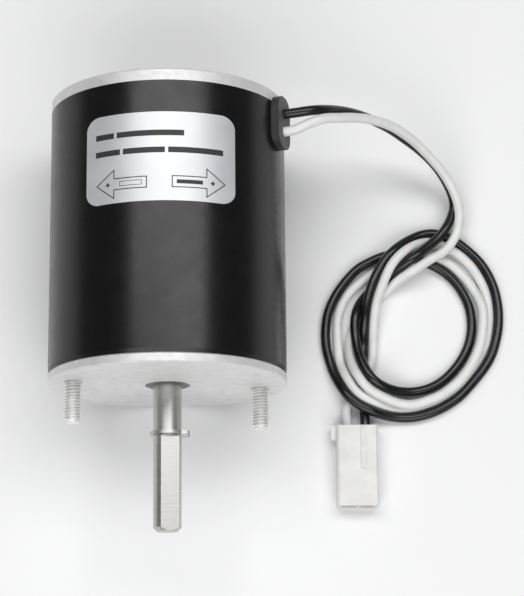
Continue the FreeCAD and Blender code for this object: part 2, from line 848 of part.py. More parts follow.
def cut_slots(body, start, length):
    """The row of winding slots in one lamination stack or end sheet."""
    bottom = dim("slot_bottom_diameter") / 2
    shoulder = core_radius - dim("tooth_tip")
    slope = shoulder - dim("tooth_slope")
    mouth = dim("slot_mouth") / 2
    inner = dim("slot_inner_width") / 2
    outer = dim("slot_outer_width") / 2
    sketch = sketch_across(body, f"{body.Name}_slot_outline", start - OVERCUT)
    draw_outline(sketch, [
        (-inner, bottom), (inner, bottom), (outer, slope), (mouth, shoulder),
        (mouth, core_radius + OVERCUT), (-mouth, core_radius + OVERCUT), (-mouth, shoulder),
        (-outer, slope)])
    cut = pocket(body, f"{body.Name}_slot", sketch, length + 2 * OVERCUT)
    round_pattern(body, f"{body.Name}_slots", cut, sketch, dim("slot_count"))


def make_slotted_sheet(name, start, length):
    """A slotted disc on the shaft: the lamination stack, or an insulating end sheet."""
    body = new_body(name)
    start = as_size(start)
    revolve(body, f"{name}_blank", [
        (shaft_radius, start), (core_radius, start), (core_radius, start + length),
        (shaft_radius, start + length)])
    cut_slots(body, start, as_size(length))
    return body


def make_winding():
    """The copper winding: a fill in every slot, joined by the end turns."""
    body = new_body("winding")
    room = dim("wire_room")
    bottom = dim("slot_bottom_diameter") / 2 + room
    shoulder = core_radius - dim("tooth_tip") - dim("tooth_slope") - room
    inner = dim("slot_inner_width") / 2 - room
    outer = dim("slot_outer_width") / 2 - room
    sheet_front = dim("core_front") - dim("end_sheet")
    sheet_rear = core_rear + dim("end_sheet")
    turn_inner = dim("end_turn_inner") / 2
    turn_outer = shoulder
    bend = dim("end_turn_round")
    for name, near, away in (("front_turns", sheet_front, -1), ("rear_turns", sheet_rear, 1)):
        far = near + dim("end_turn_span") * away
        revolve(body, name, [
            (turn_inner, near), (turn_outer, near), (turn_outer, far - bend * away),
            (turn_outer - bend, far), (turn_inner + bend, far), (turn_inner, far - bend * away)])
        if name == "front_turns":
            fill = sketch_across(body, "slot_fill_outline", sheet_front)
            draw_outline(fill, [(-inner, bottom), (inner, bottom), (outer, shoulder), (-outer, shoulder)])
            bar = pad(body, "slot_fill", fill, sheet_rear - sheet_front)
            round_pattern(body, "slot_fills", bar, fill, dim("slot_count"))
    return body


def make_commutator_hub():
    """The moulded core that carries the copper bars."""
    body = new_body("commutator_hub")
    bar_inner = commutator_radius - dim("bar_depth")
    rim = commutator_radius - dim("hub_rim_drop")
    revolve(body, "hub_moulding", [
        (shaft_radius, hub_front),
        (rim, hub_front),
        (rim, riser_front),
        (bar_inner, riser_front),
        (bar_inner, commutator_rear),
        (rim, commutator_rear),
        (rim - dim("hub_rim_slope"), hub_rear),
        (shaft_radius, hub_rear)])
    return body


def make_commutator_bars():
    """The ring of copper bars, parted by narrow gaps, each with a riser for its wires."""
    blank = new_body("commutator_ring")
    bar_inner = commutator_radius - dim("bar_depth")
    riser = commutator_radius + dim("riser_height")
    revolve(blank, "bars_turned", [
        (bar_inner, riser_front), (riser, riser_front), (riser, commutator_front),
        (commutator_radius, commutator_front), (commutator_radius, commutator_rear),
        (bar_inner, commutator_rear)])
    count = int(dim("slot_count").value)
    saws = []
    for step in range(count):
        saw = doc.addObject("Part::Box", f"bar_saw_{step}")
        bind(saw, "Length", dim("bar_gap"))
        bind(saw, "Width", commutator_rear - riser_front + 2 * OVERCUT)
        bind(saw, "Height", riser + 2 * OVERCUT)
        turn = Rotation(Vector(0, 1, 0), 360.0 * (step + 0.5) / count)
        corner = Vector(-dim("bar_gap").value / 2, riser_front.value - OVERCUT, 0)
        saw.Placement = Placement(turn.multVec(corner), turn)
        saws.append(saw)
    cutter = doc.addObject("Part::MultiFuse", "bar_saws")
    cutter.Shapes = saws
    bars = doc.addObject("Part::Cut", "commutator_bars")
    bars.Base = blank
    bars.Tool = cutter
    bars.Label = "commutator_bars"
    return bars


def make_wave_washer():
    """The springy washer that takes up the rotor's end play."""
    outer = dim("washer_diameter").value / 2 - dim("wave_edge_room").value
    inner = shaft_radius.value + dim("wave_bore_gap").value
    rise = dim("wave_height").value - dim("wave_sheet").value
    profile = []
    waves = int(dim("wave_count").value)
    steps = 12 * waves
    for radius in (inner, outer):
        points = []
        for step in range(steps):
            angle = 360.0 * step / steps
            lift = rise * (1 - math.cos(math.radians(waves * angle))) / 2
            points.append(radial(angle, radius, wave_front.value + lift))
        curve = Part.BSplineCurve()
        curve.interpolate(points, PeriodicFlag=True)
        profile.append(curve.toShape())
    surface = Part.makeRuledSurface(profile[0], profile[1])
    solid = surface.extrude(Vector(0, dim("wave_sheet").value, 0))
    feature = doc.addObject("Part::Feature", "wave_washer")
    feature.Label = "wave_washer"
    feature.Shape = solid
    return feature


# Magnets


def ring_sector(name, outer, inner, start, length, middle_angle, arc):
    """Part of a ring about the motor's axis, as a turned rectangle."""
    ring = Part.Face(Part.makePolygon([
        Vector(0, start, inner), Vector(0, start + length, inner),
        Vector(0, start + length, outer), Vector(0, start, outer), Vector(0, start, inner)]))
    ring.rotate(Vector(), Vector(0, 1, 0), middle_angle - arc / 2)
    return ring.revolve(Vector(), Vector(0, 1, 0), arc)


def make_magnets():
    """Two ferrite arcs against the can's wall."""
    outer = can_bore.value - dim("magnet_seat").value
    inner = outer - dim("magnet_thickness").value
    arcs = []
    for side in (0, 180):
        middle = dim("stud_angle").value + side
        arcs.append(ring_sector("magnet", outer, inner, dim("magnet_front").value,
                                magnet_span.value, middle, dim("magnet_arc").value))
    feature = doc.addObject("Part::Feature", "magnets")
    feature.Label = "magnets"
    feature.Shape = Part.makeCompound(arcs)
    return feature


def make_magnet_clips():
    """Two folded spring strips that push the magnets' ends apart."""
    thickness = dim("clip_thickness").value
    gap = dim("clip_gap").value
    outer = can_bore.value - gap
    gap_arc = 180.0 - dim("magnet_arc").value
    side_slack = math.degrees(gap / outer)
    lip_arc = math.degrees(thickness / outer)
    start = dim("magnet_front").value + dim("clip_end_room").value
    length = magnet_span.value - 2 * dim("clip_end_room").value
    clips = []
    for side in (90, 270):
        middle = dim("stud_angle").value + side
        arc = gap_arc - 2 * side_slack
        strip = ring_sector("strip", outer, outer - thickness, start, length, middle, arc)
        for end in (-1, 1):
            lip_middle = middle + end * (arc - lip_arc) / 2
            lip = ring_sector("lip", outer, outer - dim("clip_lip").value, start, length, lip_middle,
                              lip_arc)
            strip = strip.fuse(lip)
        clips.append(strip.removeSplitter())
    feature = doc.addObject("Part::Feature", "magnet_clips")
    feature.Label = "magnet_clips"
    feature.Shape = Part.makeCompound(clips)
    return feature


# Brush gear


def brush_angle(side):
    """The two brushes stand square to the line through the bolts."""
    return dim("stud_angle").value + (180 if side else 0)


def stand_radially(shape, angle):
    """Turn a shape drawn along the upright to its place round the axis."""
    turned = shape.copy()
    turned.rotate(Vector(), Vector(0, 1, 0), angle)
    return turned


def make_brush_plate():
    """The insulating plate that carries the brush gear, notched for bolts and grommet."""
    body = new_body("brush_plate")
    outer = can_bore - dim("brush_plate_gap")
    bore = dim("brush_plate_bore") / 2
    revolve(body, "plate_ring", [
        (bore, plate_front_face), (outer, plate_front_face), (outer, plate_rear_face),
        (bore, plate_rear_face)])
    cut_bolt_holes(body, "bolt_clearance", stud_radius + dim("brush_plate_bolt_gap"),
                   plate_front_face - OVERCUT,
                   dim("brush_plate_thickness") + 2 * OVERCUT)
    screws = sketch_across(body, "plate_screw_circles", plate_front_face - OVERCUT, plate_screw_angle(0))
    screw_hole = dim("plate_screw_diameter") / 2 + dim("plate_screw_hole_gap")
    draw_circle(screws, 0, plate_screw_ring, screw_hole)
    draw_circle(screws, 0, -plate_screw_ring, screw_hole)
    pocket(body, "plate_screw_holes", screws, dim("brush_plate_thickness") + 2 * OVERCUT)
    notch = sketch_across(body, "grommet_gap_outline", plate_front_face - OVERCUT, dim("grommet_angle"))
    notch_floor = can_bore - dim("grommet_inner_lip") - dim("brush_plate_notch_room")
    draw_box(notch, dim("grommet_width") / 2 + dim("brush_plate_notch_gap"), notch_floor, can_radius)
    pocket(body, "grommet_gap", notch, dim("brush_plate_thickness") + 2 * OVERCUT)
    return body


def make_brush_holders():
    """Two folded brass boxes with feet on the brush plate and a slot for the braid."""
    wall = dim("holder_wall").value
    room = dim("holder_room").value
    width = dim("brush_tangential").value / 2 + room
    depth = dim("brush_axial").value / 2 + room
    low = commutator_radius.value + dim("holder_stand_off").value
    high = holder_reach.value
    middle = brush_middle.value
    boxes = []
    for side in (0, 1):
        box = Part.makeBox(2 * (width + wall), 2 * (depth + wall), high - low,
                           Vector(-width - wall, middle - depth - wall, low))
        hollow = Part.makeBox(2 * width, 2 * depth, high - low - wall, Vector(-width, middle - depth, low))
        slot_width = dim("shunt_slot").value
        slot = Part.makeBox(slot_width, wall + OVERCUT, high - low - 2 * wall,
                            Vector(-slot_width / 2, middle - depth - wall - 0.5, low))
        foot_reach = width + wall + dim("holder_foot").value
        foot = Part.makeBox(2 * foot_reach, wall, (high - low) / 2,
                            Vector(-foot_reach, middle + depth, low + (high - low) / 4))
        box = box.fuse(foot).cut(hollow).cut(slot)
        boxes.append(stand_radially(box.removeSplitter(), brush_angle(side)))
    feature = doc.addObject("Part::Feature", "brush_holders")
    feature.Label = "brush_holders"
    feature.Shape = Part.makeCompound(boxes)
    return feature


def make_brushes():
    """Two carbon brushes, hollowed to the commutator's curve."""
    start = commutator_radius.value - 1
    end = brush_head.value
    half_width = dim("brush_tangential").value / 2
    half_depth = dim("brush_axial").value / 2
    face = Part.makeCylinder(brush_foot.value, 4 * half_depth,
                             Vector(0, brush_middle.value - 2 * half_depth, 0), Vector(0, 1, 0))
    blocks = []
    for side in (0, 1):
        block = Part.makeBox(2 * half_width, 2 * half_depth, end - start,
                             Vector(-half_width, brush_middle.value - half_depth, start))
        blocks.append(stand_radially(block.cut(face), brush_angle(side)))
    feature = doc.addObject("Part::Feature", "brushes")
    feature.Label = "brushes"
    feature.Shape = Part.makeCompound(blocks)
    return feature


def make_brush_springs():
    """Two coil springs between the brushes and the closed ends of their holders."""
    wire = dim("brush_spring_wire").value
    radius = (dim("brush_spring_diameter").value - wire) / 2
    seat = wire / 2 + dim("brush_spring_gap").value
    low = brush_head.value + seat
    high = holder_reach.value - dim("holder_wall").value - seat
    turns = dim("brush_spring_turns").value
    steps = int(turns * 12)
    points = []
    for step in range(steps + 1):
        turn = 2 * math.pi * turns * step / steps
        height = low + (high - low) * step / steps
        points.append(Vector(radius * math.cos(turn), brush_middle.value + radius * math.sin(turn), height))
    curve = Part.BSplineCurve()
    curve.interpolate(points)
    section = Part.Wire([Part.makeCircle(wire / 2, points[0], curve.tangent(0)[0])])
    coil = Part.Wire([curve.toShape()]).makePipeShell([section], True, True)
    springs = [stand_radially(coil, brush_angle(side)) for side in (0, 1)]
    feature = doc.addObject("Part::Feature", "brush_springs")
    feature.Label = "brush_springs"
    feature.Shape = Part.makeCompound(springs)
    return feature


def make_plate_screw(name, side):
    """A pan-head screw that holds the brush plate to its stand-off."""
    thread = dim("plate_screw_diameter") / 2
    head = dim("plate_screw_head") / 2
    head_front = plate_front_face - dim("plate_screw_head_depth")
    head_break = dim("plate_screw_head_break")
    tip_break = dim("plate_screw_tip_break")
    tip = plate_front_face + dim("plate_screw_span")
    body = new_body(name)
    revolve(body, f"{name}_turned", [
        (0, head_front), (head - head_break, head_front), (head, head_front + head_break),
        (head, plate_front_face), (thread, plate_front_face), (thread, tip - tip_break),
        (thread - tip_break, tip), (0, tip)])
    slot = sketch_across(body, f"{name}_slot_outline", head_front - OVERCUT)
    half_length = dim("plate_screw_slot_length") / 2
    draw_box(slot, dim("plate_screw_slot_width") / 2, -half_length, half_length)
    pocket(body, f"{name}_slot", slot, dim("plate_screw_slot_depth") + OVERCUT)
    angle = plate_screw_angle(side).value
    body.Placement = Placement(radial(angle, plate_screw_ring.value, 0), Rotation())
    return body


# Leads


def bent_tube(label, points, diameter):
    """A tube along straight runs joined by tangent arcs, each as large as its runs allow."""
    radius = diameter / 2
    edges = []
    start = points[0]
    radii = []
    for before, corner, after in zip(points, points[1:], points[2:]):
        into = corner - before
        out = after - corner
        shorter = min(into.Length, out.Length)
        turn = into.getAngle(out)
        setback = 0.45 * shorter
        radii.append(setback / math.tan(turn / 2))
        first = corner - Vector(into).normalize() * setback
        last = corner + Vector(out).normalize() * setback
        bisector = (Vector(out).normalize() - Vector(into).normalize()).normalize()
        sagitta = radii[-1] * (1 / math.cos(turn / 2) - 1)
        edges.append(Part.LineSegment(start, first).toShape())
        edges.append(Part.Arc(first, corner + bisector * sagitta, last).toShape())
        start = last
    edges.append(Part.LineSegment(start, points[-1]).toShape())
    path = Part.Wire(edges)
    heading = points[1] - points[0]
    section = Part.Wire([Part.makeCircle(radius, points[0], heading)])
    tube = path.makePipeShell([section], True, False)
    expected = math.pi * radius * radius * path.Length
    print(label, "length", round(path.Length, 1), "volume ratio", round(tube.Volume / expected, 4),
          "radii", [round(value, 1) for value in radii])
    feature = doc.addObject("Part::Feature", label)
    feature.Label = label
    feature.Shape = tube
    return feature


def lead_exit(rearward):
    """Where one lead leaves the grommet's outer face."""
    station = grommet_middle.value + rearward * dim("lead_pitch").value / 2
    return radial(dim("grommet_angle").value, grommet_face.value, station)


def make_grommet():
    """The rubber grommet: outer flange, neck in the can's notch and inner lip, with two holes."""
    body = new_body("grommet")
    half_length = dim("grommet_length") / 2
    outer = sketch_level(body, "flange_outline", can_bore)
    draw_box(outer, dim("grommet_width") / 2, grommet_middle - half_length, grommet_middle + half_length)
    flange = pad(body, "flange", outer, grommet_face - can_bore, backwards=False)
    doc.recompute()
    corners = [f"Edge{index}" for index, edge in enumerate(body.Shape.Edges, start=1)
               if abs(edge.tangentAt(edge.FirstParameter).z) > 0.99]
    rounding = body.newObject("PartDesign::Fillet", "flange_round")
    rounding.Base = (flange, corners)
    bind(rounding, "Radius", dim("grommet_lip_round"))
    body.Tip = rounding
    hollow = body.newObject("PartDesign::SubtractiveCylinder", "can_hollow")
    seat_gap = dim("grommet_seat_gap")
    bind(hollow, "Radius", can_radius + seat_gap)
    bind(hollow, "Height", dim("grommet_length") + 4)
    along_axis(hollow, grommet_middle - half_length - 2 * OVERCUT)
    neck_low = can_rear - dim("grommet_neck_length")
    lip_top = root(can_bore * can_bore - dim("grommet_width") * dim("grommet_width") / 4) - seat_gap
    joint = dim("grommet_inner_lip") / 4
    neck = sketch_level(body, "neck_outline", lip_top - joint)
    draw_box(neck, dim("grommet_neck_width") / 2, neck_low, can_rear)
    pad(body, "neck", neck, can_radius - lip_top + joint * 2, backwards=False)
    lip = sketch_level(body, "lip_outline", lip_top - dim("grommet_inner_lip"))
    draw_box(lip, dim("grommet_width") / 2, neck_low - dim("grommet_lip_front"),
             can_rear - dim("grommet_lip_rear"))
    pad(body, "inner_lip", lip, dim("grommet_inner_lip"), backwards=False)
    holes = sketch_level(body, "wire_hole_circles", lip_top - dim("grommet_inner_lip") - OVERCUT)
    for rearward in (-1, 1):
        station = grommet_middle + dim("lead_pitch") / 2 * rearward
        draw_circle(holes, 0, station, lead_radius + dim("lead_hole_gap"))
    pocket(body, "wire_holes", holes, grommet_face - lip_top + dim("grommet_inner_lip") + 2 * OVERCUT,
           backwards=True)
    body.Placement = Placement(Vector(), Rotation(Vector(0, 1, 0), dim("grommet_angle").value))
    return body


def make_inner_leads():
    """The leads inside the motor, from the grommet's face to the two brush holders."""
    angle = dim("grommet_angle").value
    front_exit = lead_exit(-1)
    rear_exit = lead_exit(1)
    first = brush_angle(0)
    second = brush_angle(1)
    holder_side = dim("brush_tangential").value / 2 + dim("holder_room").value + dim("holder_wall").value
    distance = can_bore.value - dim("inner_lead_drop").value
    station = front_exit.y - dim("inner_white_station").value
    white = [
        front_exit,
        radial(angle, can_bore.value - dim("inner_white_drop").value, front_exit.y),
        radial(angle - dim("inner_white_turn").value, can_bore.value - dim("inner_bend_drop").value,
               front_exit.y - dim("inner_white_shift").value),
        stand_point(first, holder_side + dim("inner_white_approach").value, distance, station),
        stand_point(first, holder_side + dim("inner_lead_gap").value, distance, station)]
    ring = commutator_radius.value + dim("inner_black_ring").value
    turn = angle + dim("inner_black_turn").value
    step = dim("inner_black_step").value
    station = rear_exit.y + dim("inner_black_shift").value
    black = [
        rear_exit,
        radial(angle, distance, rear_exit.y),
        radial(turn, ring, station),
        radial(turn + step, ring, station),
        radial(turn + 2 * step, ring, station),
        stand_point(second, -dim("inner_black_end").value, ring, station)]
    return [bent_tube("inner_lead_white", white, dim("lead_diameter").value),
            bent_tube("inner_lead_black", black, dim("lead_diameter").value)]


def stand_point(angle, across, distance, station):
    """A point beside the radius at an angle: across is clockwise, seen from the front."""
    point = Vector(across, station, distance)
    return Rotation(Vector(0, 1, 0), angle).multVec(point)


def make_brush_shunts():
    """The short braids that carry current from each holder to its brush."""
    half_depth = dim("brush_axial").value / 2
    wall = holder_half_depth.value
    middle = brush_middle.value
    end = holder_reach.value - dim("shunt_end_room").value
    low = (brush_foot.value + brush_head.value) / 2 + dim("shunt_diameter").value
    tubes = []
    for side in (0, 1):
        angle = brush_angle(side)
        points = [
            stand_point(angle, 0, low, middle - half_depth),
            stand_point(angle, 0, low, middle - wall - dim("shunt_near").value),
            stand_point(angle, 0, low + dim("shunt_rise").value, middle - wall - dim("shunt_far").value),
            stand_point(angle, 0, end, middle - wall - dim("shunt_return").value),
            stand_point(angle, 0, end, middle - wall)]
        tubes.append(bent_tube(f"brush_shunt_{side}", points, dim("shunt_diameter").value))
    return group("brush_shunts", tubes)


def make_label():
    """The thin foil label round the top of the can, with rounded corners."""
    arc = dim("label_arc").value
    turn = -dim("label_turn").value
    start = dim("label_front").value
    span = dim("label_span").value
    outer = can_radius.value + dim("label_thickness").value
    foil = ring_sector("foil", outer, can_radius.value, start, span, 0, arc)
    half_width = outer * math.sin(math.radians(arc / 2))
    blank = Part.makeBox(2 * half_width, span, 2 * outer, Vector(-half_width, start, 0))
    corners = [edge for edge in blank.Edges if abs(edge.tangentAt(edge.FirstParameter).z) > 0.99]
    blank = blank.makeFillet(dim("label_corner").value, corners)
    foil = foil.common(blank)
    foil.rotate(Vector(), Vector(0, 1, 0), turn)
    feature = doc.addObject("Part::Feature", "label")
    feature.Label = "label"
    feature.Shape = foil
    return feature


# Points of the two leads from the grommet to the coil, chosen along their run
WHITE_ROUTE = [
    (34.0, 58.3, 11.5), (37.8, 60.2, 10.2), (41.9, 61.7, 7.4), (46.2, 62.7, 3.6), (50.6, 63.1, -0.9),
    (54.9, 62.6, -5.6), (59.0, 61.1, -10.1), (62.8, 58.6, -14.3), (65.9, 55.0, -18.0), (68.1, 50.8, -21.0),
    (69.0, 46.3, -22.9), (67.9, 42.0, -23.6), (65.2, 38.4, -23.6), (62.0, 35.4, -23.6)]
BLACK_ROUTE = [
    (34.3, 61.8, 10.8), (38.1, 62.9, 8.3), (41.9, 64.1, 4.7), (45.8, 65.1, 0.2), (49.9, 65.4, -4.6),
    (54.0, 64.8, -9.4), (57.9, 63.1, -13.7), (61.4, 60.3, -17.7), (64.2, 56.6, -20.9), (65.9, 52.2, -22.9),
    (66.2, 47.5, -23.6), (64.8, 43.1, -23.6), (62.0, 39.5, -23.6), (58.7, 36.6, -23.6)]


def make_leads():
    """The two free leads, from the grommet's face into the coil."""
    diameter = dim("lead_diameter").value
    tubes = []
    for label, rearward, route in (("lead_white", -1, WHITE_ROUTE), ("lead_black", 1, BLACK_ROUTE)):
        start = lead_exit(rearward)
        straight = radial(dim("grommet_angle").value, grommet_face.value + dim("lead_straight").value,
                          start.y)
        points = [start, straight] + [Vector(*point) for point in route]
        tubes.append(bent_tube(label, points, diameter))
    return tubes


def make_coil():
    """The outer shape of the coiled leads where they lie on the table: an oval ring."""
    height = dim("coil_height").value
    floor = floor_height.value
    up = Vector(0, 0, 1)

    def oval(center, half_x, half_y):
        long_way = Vector(0, 1, 0) if half_y > half_x else Vector(1, 0, 0)
        major = max(half_x, half_y)
        minor = min(half_x, half_y)
        return Part.Ellipse(center + long_way * major, center + up.cross(long_way) * minor,
                            center).toShape()

    middle = Vector(dim("coil_center_x").value, dim("coil_center_y").value, floor)
    hole = middle + Vector(dim("coil_hole_shift_x").value, dim("coil_hole_shift_y").value, 0)
    outer = Part.Face(Part.Wire([oval(middle, dim("coil_outer_x").value, dim("coil_outer_y").value)]))
    inner = Part.Face(Part.Wire([oval(hole, dim("coil_hole_x").value, dim("coil_hole_y").value)]))
    ring = outer.extrude(up * height).cut(inner.extrude(up * height))
    rims = [edge for edge in ring.Edges if abs(edge.BoundBox.ZLength) < 1e-6]
    feature = doc.addObject("Part::Feature", "lead_coil")
    feature.Label = "lead_coil"
    feature.Shape = ring.makeFillet(dim("coil_round").value, rims)
    return feature


def cavity_offset(side):
    """Where one circuit's cavity lies across the connector."""
    return dim("plug_center_x") + dim("lead_pitch") / 2 * side


def plug_axis_height():
    """The height of the connector's middle above the motor's axis, which is below it."""
    return floor_height + dim("plug_height") / 2


def make_connector_housing():
    """The moulded two-way housing: stepped nose, two cavities, wire holes, latch arm and rib."""
    body = new_body("connector_housing")
    rear = dim("plug_rear")
    nose = rear - dim("plug_length")
    left = dim("plug_center_x") - dim("plug_width") / 2
    right = dim("plug_center_x") + dim("plug_width") / 2
    low = floor_height
    top = floor_height + dim("plug_height")
    edge = dim("plug_edge")
    block = sketch_across(body, "block_outline", rear)
    draw_outline(block, [
        (left + edge, low), (right - edge, low), (right, low + edge), (right, top - edge),
        (right - edge, top), (left + edge, top), (left, top - edge), (left, low + edge)])
    pad(body, "block", block, dim("plug_length"), backwards=False)
    middle = plug_axis_height()
    arm = dim("latch_width") / 2
    slit = dim("latch_slit")
    arm_end = left + dim("latch_thickness")
    gap = sketch_across(body, "latch_gap_outline", rear + OVERCUT)
    draw_outline(gap, [
        (arm_end, middle - arm - slit),
        (arm_end + dim("latch_gap"), middle - arm - slit),
        (arm_end + dim("latch_gap"), middle + arm + slit),
        (arm_end, middle + arm + slit)])
    pocket(body, "latch_gap_cut", gap, dim("latch_length") + OVERCUT, backwards=True)
    for name, start in (("upper", middle + arm), ("lower", middle - arm - slit)):
        side = sketch_across(body, f"latch_{name}_outline", rear + OVERCUT)
        draw_outline(side, [
            (left - OVERCUT, start), (arm_end + dim("latch_gap"), start),
            (arm_end + dim("latch_gap"), start + slit), (left - OVERCUT, start + slit)])
        pocket(body, f"latch_{name}_cut", side, dim("latch_length") + OVERCUT, backwards=True)
    thumb = sketch_across(body, "thumb_outline", rear)
    draw_outline(thumb, [
        (left - dim("thumb_reach"), middle - arm), (left + dim("thumb_root"), middle - arm),
        (left + dim("thumb_root"), middle + arm), (left - dim("thumb_reach"), middle + arm)])
    pad(body, "thumb_tab", thumb, dim("thumb_length"), backwards=False)
    rib = sketch_across(body, "rib_outline", rear - dim("rib_setback"))
    rib_middle = dim("plug_center_x") + dim("rib_shift")
    half_rib = dim("rib_width") / 2
    draw_outline(rib, [
        (rib_middle - half_rib, top - edge), (rib_middle + half_rib, top - edge),
        (rib_middle + half_rib, top + dim("rib_height")), (rib_middle - half_rib, top + dim("rib_height"))])
    pad(body, "rib", rib, dim("rib_length"), backwards=False)
    cavities = sketch_across(body, "cavity_outline", nose - OVERCUT)
    half = dim("cavity_width") / 2
    corner = dim("cavity_corner")
    for side in (-1, 1):
        center = cavity_offset(side)
        draw_outline(cavities, [
            (center - half, middle - half), (center + half, middle - half),
            (center + half, middle + half - corner),
            (center + half - corner, middle + half), (center - half + corner, middle + half),
            (center - half, middle + half - corner)])
    pocket(body, "cavities", cavities, dim("cavity_depth") + OVERCUT)
    holes = sketch_across(body, "wire_hole_circles", nose)
    for side in (-1, 1):
        draw_circle(holes, cavity_offset(side), middle, dim("wire_hole") / 2)
    pocket(body, "wire_holes", holes, dim("plug_length") + OVERCUT)
    return body


def contact_rear():
    """The station where each wire meets its contact."""
    return dim("plug_rear").value - dim("contact_setback").value


def make_contacts():
    """Two rolled sheet contacts in the housing's cavities."""
    outer = dim("contact_diameter").value / 2
    inner = outer - dim("contact_thickness").value
    height = plug_axis_height().value
    tubes = []
    for side in (-1, 1):
        foot = Vector(cavity_offset(side).value, contact_rear() - dim("contact_span").value, height)
        wall = Part.makeCylinder(outer, dim("contact_span").value, foot, Vector(0, 1, 0))
        bore = Part.makeCylinder(inner, dim("contact_span").value - dim("contact_end").value, foot,
                                 Vector(0, 1, 0))
        seam = Part.makeBox(dim("contact_seam").value,
                            dim("contact_span").value - dim("contact_end").value, outer + OVERCUT,
                            foot - Vector(dim("contact_seam").value / 2, 0, 0))
        tubes.append(wall.cut(bore).cut(seam))
    feature = doc.addObject("Part::Feature", "connector_contacts")
    feature.Label = "connector_contacts"
    feature.Shape = Part.makeCompound(tubes)
    return feature


def make_tails():
    """The short ends of the leads between the coil and the connector's contacts."""
    height = plug_axis_height().value
    tails = []
    for color, side in (("white", -1), ("black", 1)):
        label = f"tail_{color}"
        across = cavity_offset(side).value
        length = dim(f"{color}_tail_start").value - contact_rear()
        tail = Part.makeCylinder(lead_radius.value, length, Vector(across, contact_rear(), height),
                                 Vector(0, 1, 0))
        feature = doc.addObject("Part::Feature", label)
        feature.Label = label
        feature.Shape = tail
        tails.append(feature)
    return tails


nodes = [
    make_can(),
    make_front_plate(),
    make_rear_cap(),
    group("through_bolts", [make_bolt("bolt_right", 1), make_bolt("bolt_left", -1)]),
    group("lock_washers", [make_lock_washer("washer_right", 1), make_lock_washer("washer_left", -1)]),
    make_bush("front_bush", front_bush_middle),
    make_bush("rear_bush", rear_bush_middle),
    make_felt("front_felt", front_bush_middle, 1),
    make_felt("rear_felt", rear_bush_middle, -1),
    make_retainer("front_bush_retainer", front_bush_middle, 1),
    make_retainer("rear_bush_retainer", rear_bush_middle, -1),
    make_shaft(),
    make_retaining_ring(),
    washer("front_thrust_washer", dim("washer_diameter") / 2, shaft_radius + dim("running_gap"),
           front_bush_middle + dim("bush_span") / 2 + dim("washer_gap"), dim("steel_washer")),
    washer("front_spacer", shaft_radius + dim("spacer_wall"), shaft_radius,
           front_bush_middle + dim("bush_span") / 2 + dim("washer_gap") + dim("steel_washer"),
           dim("core_front") - dim("end_sheet") - front_bush_middle - dim("bush_span") / 2
           - dim("washer_gap") - dim("steel_washer")),
    make_slotted_sheet("armature_core", dim("core_front"), core_rear - dim("core_front")),
    group("slot_end_sheets", [
        make_slotted_sheet("front_sheet", dim("core_front") - dim("end_sheet"), dim("end_sheet")),
        make_slotted_sheet("rear_sheet", core_rear, dim("end_sheet"))]),
    make_winding(),
    make_commutator_hub(),
    make_commutator_bars(),
    washer("rear_thrust_washer", dim("washer_diameter") / 2, shaft_radius + dim("running_gap"),
           hub_rear + dim("washer_gap"), dim("steel_washer")),
    make_wave_washer(),
    make_magnets(),
    make_magnet_clips(),
    make_brush_plate(),
    make_brush_holders(),
    make_brushes(),
    make_brush_springs(),
    make_brush_shunts(),
    group("brush_plate_screws",
          [make_plate_screw("plate_screw_a", 0), make_plate_screw("plate_screw_b", 1)]),
    make_grommet(),
    *make_inner_leads(),
    make_label(),
    *make_leads(),
    make_coil(),
    *make_tails(),
    make_connector_housing(),
    make_contacts(),
]
doc.recompute()

for thing in doc.Objects:
    if "Invalid" in thing.State or "Error" in thing.State:
        raise RuntimeError(f"{thing.Label} failed to build: {thing.State}")
for node in nodes:
    if node.Shape.isNull() or not node.Shape.isValid():
        raise RuntimeError(f"{node.Label} has no valid shape")

os.makedirs("parts", exist_ok=True)
for node in nodes:
    node.Shape.exportStep(f"parts/{node.Label}.step")
    print(f"{node.Label}: {len(node.Shape.Solids)} solids, {node.Shape.Volume:.1f} mm3")
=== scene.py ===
import math
import bpy
from mathutils import Matrix, Vector


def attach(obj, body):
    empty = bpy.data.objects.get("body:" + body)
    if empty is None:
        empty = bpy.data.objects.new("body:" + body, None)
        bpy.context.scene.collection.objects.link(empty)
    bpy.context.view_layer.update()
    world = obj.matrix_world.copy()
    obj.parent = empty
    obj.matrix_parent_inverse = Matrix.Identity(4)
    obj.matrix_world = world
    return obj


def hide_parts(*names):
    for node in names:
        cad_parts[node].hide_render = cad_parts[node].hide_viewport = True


# A vent fan motor on its side, dressed over its CAD frame. Lengths are written in millimetres.
MM = 0.001
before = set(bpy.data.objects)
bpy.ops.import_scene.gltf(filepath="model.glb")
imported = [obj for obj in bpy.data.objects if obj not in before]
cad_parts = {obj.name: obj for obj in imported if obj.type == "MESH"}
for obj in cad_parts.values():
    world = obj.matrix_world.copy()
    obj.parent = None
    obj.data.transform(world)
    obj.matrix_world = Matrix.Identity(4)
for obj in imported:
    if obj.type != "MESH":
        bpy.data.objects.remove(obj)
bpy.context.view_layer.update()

# Sizes shared with the CAD
CAN_RADIUS = 27.0
FLOOR_HEIGHT = -CAN_RADIUS
LABEL_RADIUS = 27.12
STUD_RING = 21.5
STUD_ANGLE = 12.5
STUD_RADIUS = 2.0
STUD_REACH = 9.3
STUD_CHAMFER = 0.6
THREAD_PITCH = 0.7
THREAD_DEPTH = 0.43
# Shares of the pitch that the flat crest and the flat root take
THREAD_CREST = 0.125
THREAD_ROOT = 0.25
# Share of the thread's depth, down from its crest, that keeps the bolt's own steel; deeper in the grooves
# the steel is painted darker as shade
UNSHADED_DEPTH = 0.6
SHANK_RADIUS = 1.75
BOLT_SEAT = 64.6
HEAD_RADIUS = 3.5
HEAD_DEPTH = 2.6
HEAD_BREAK = 0.3
SOCKET_WIDTH = 3.0
SOCKET_DEPTH = 1.5
LEAD_DIAMETER = 2.3
LEAD_CURVE_ORDER = 3

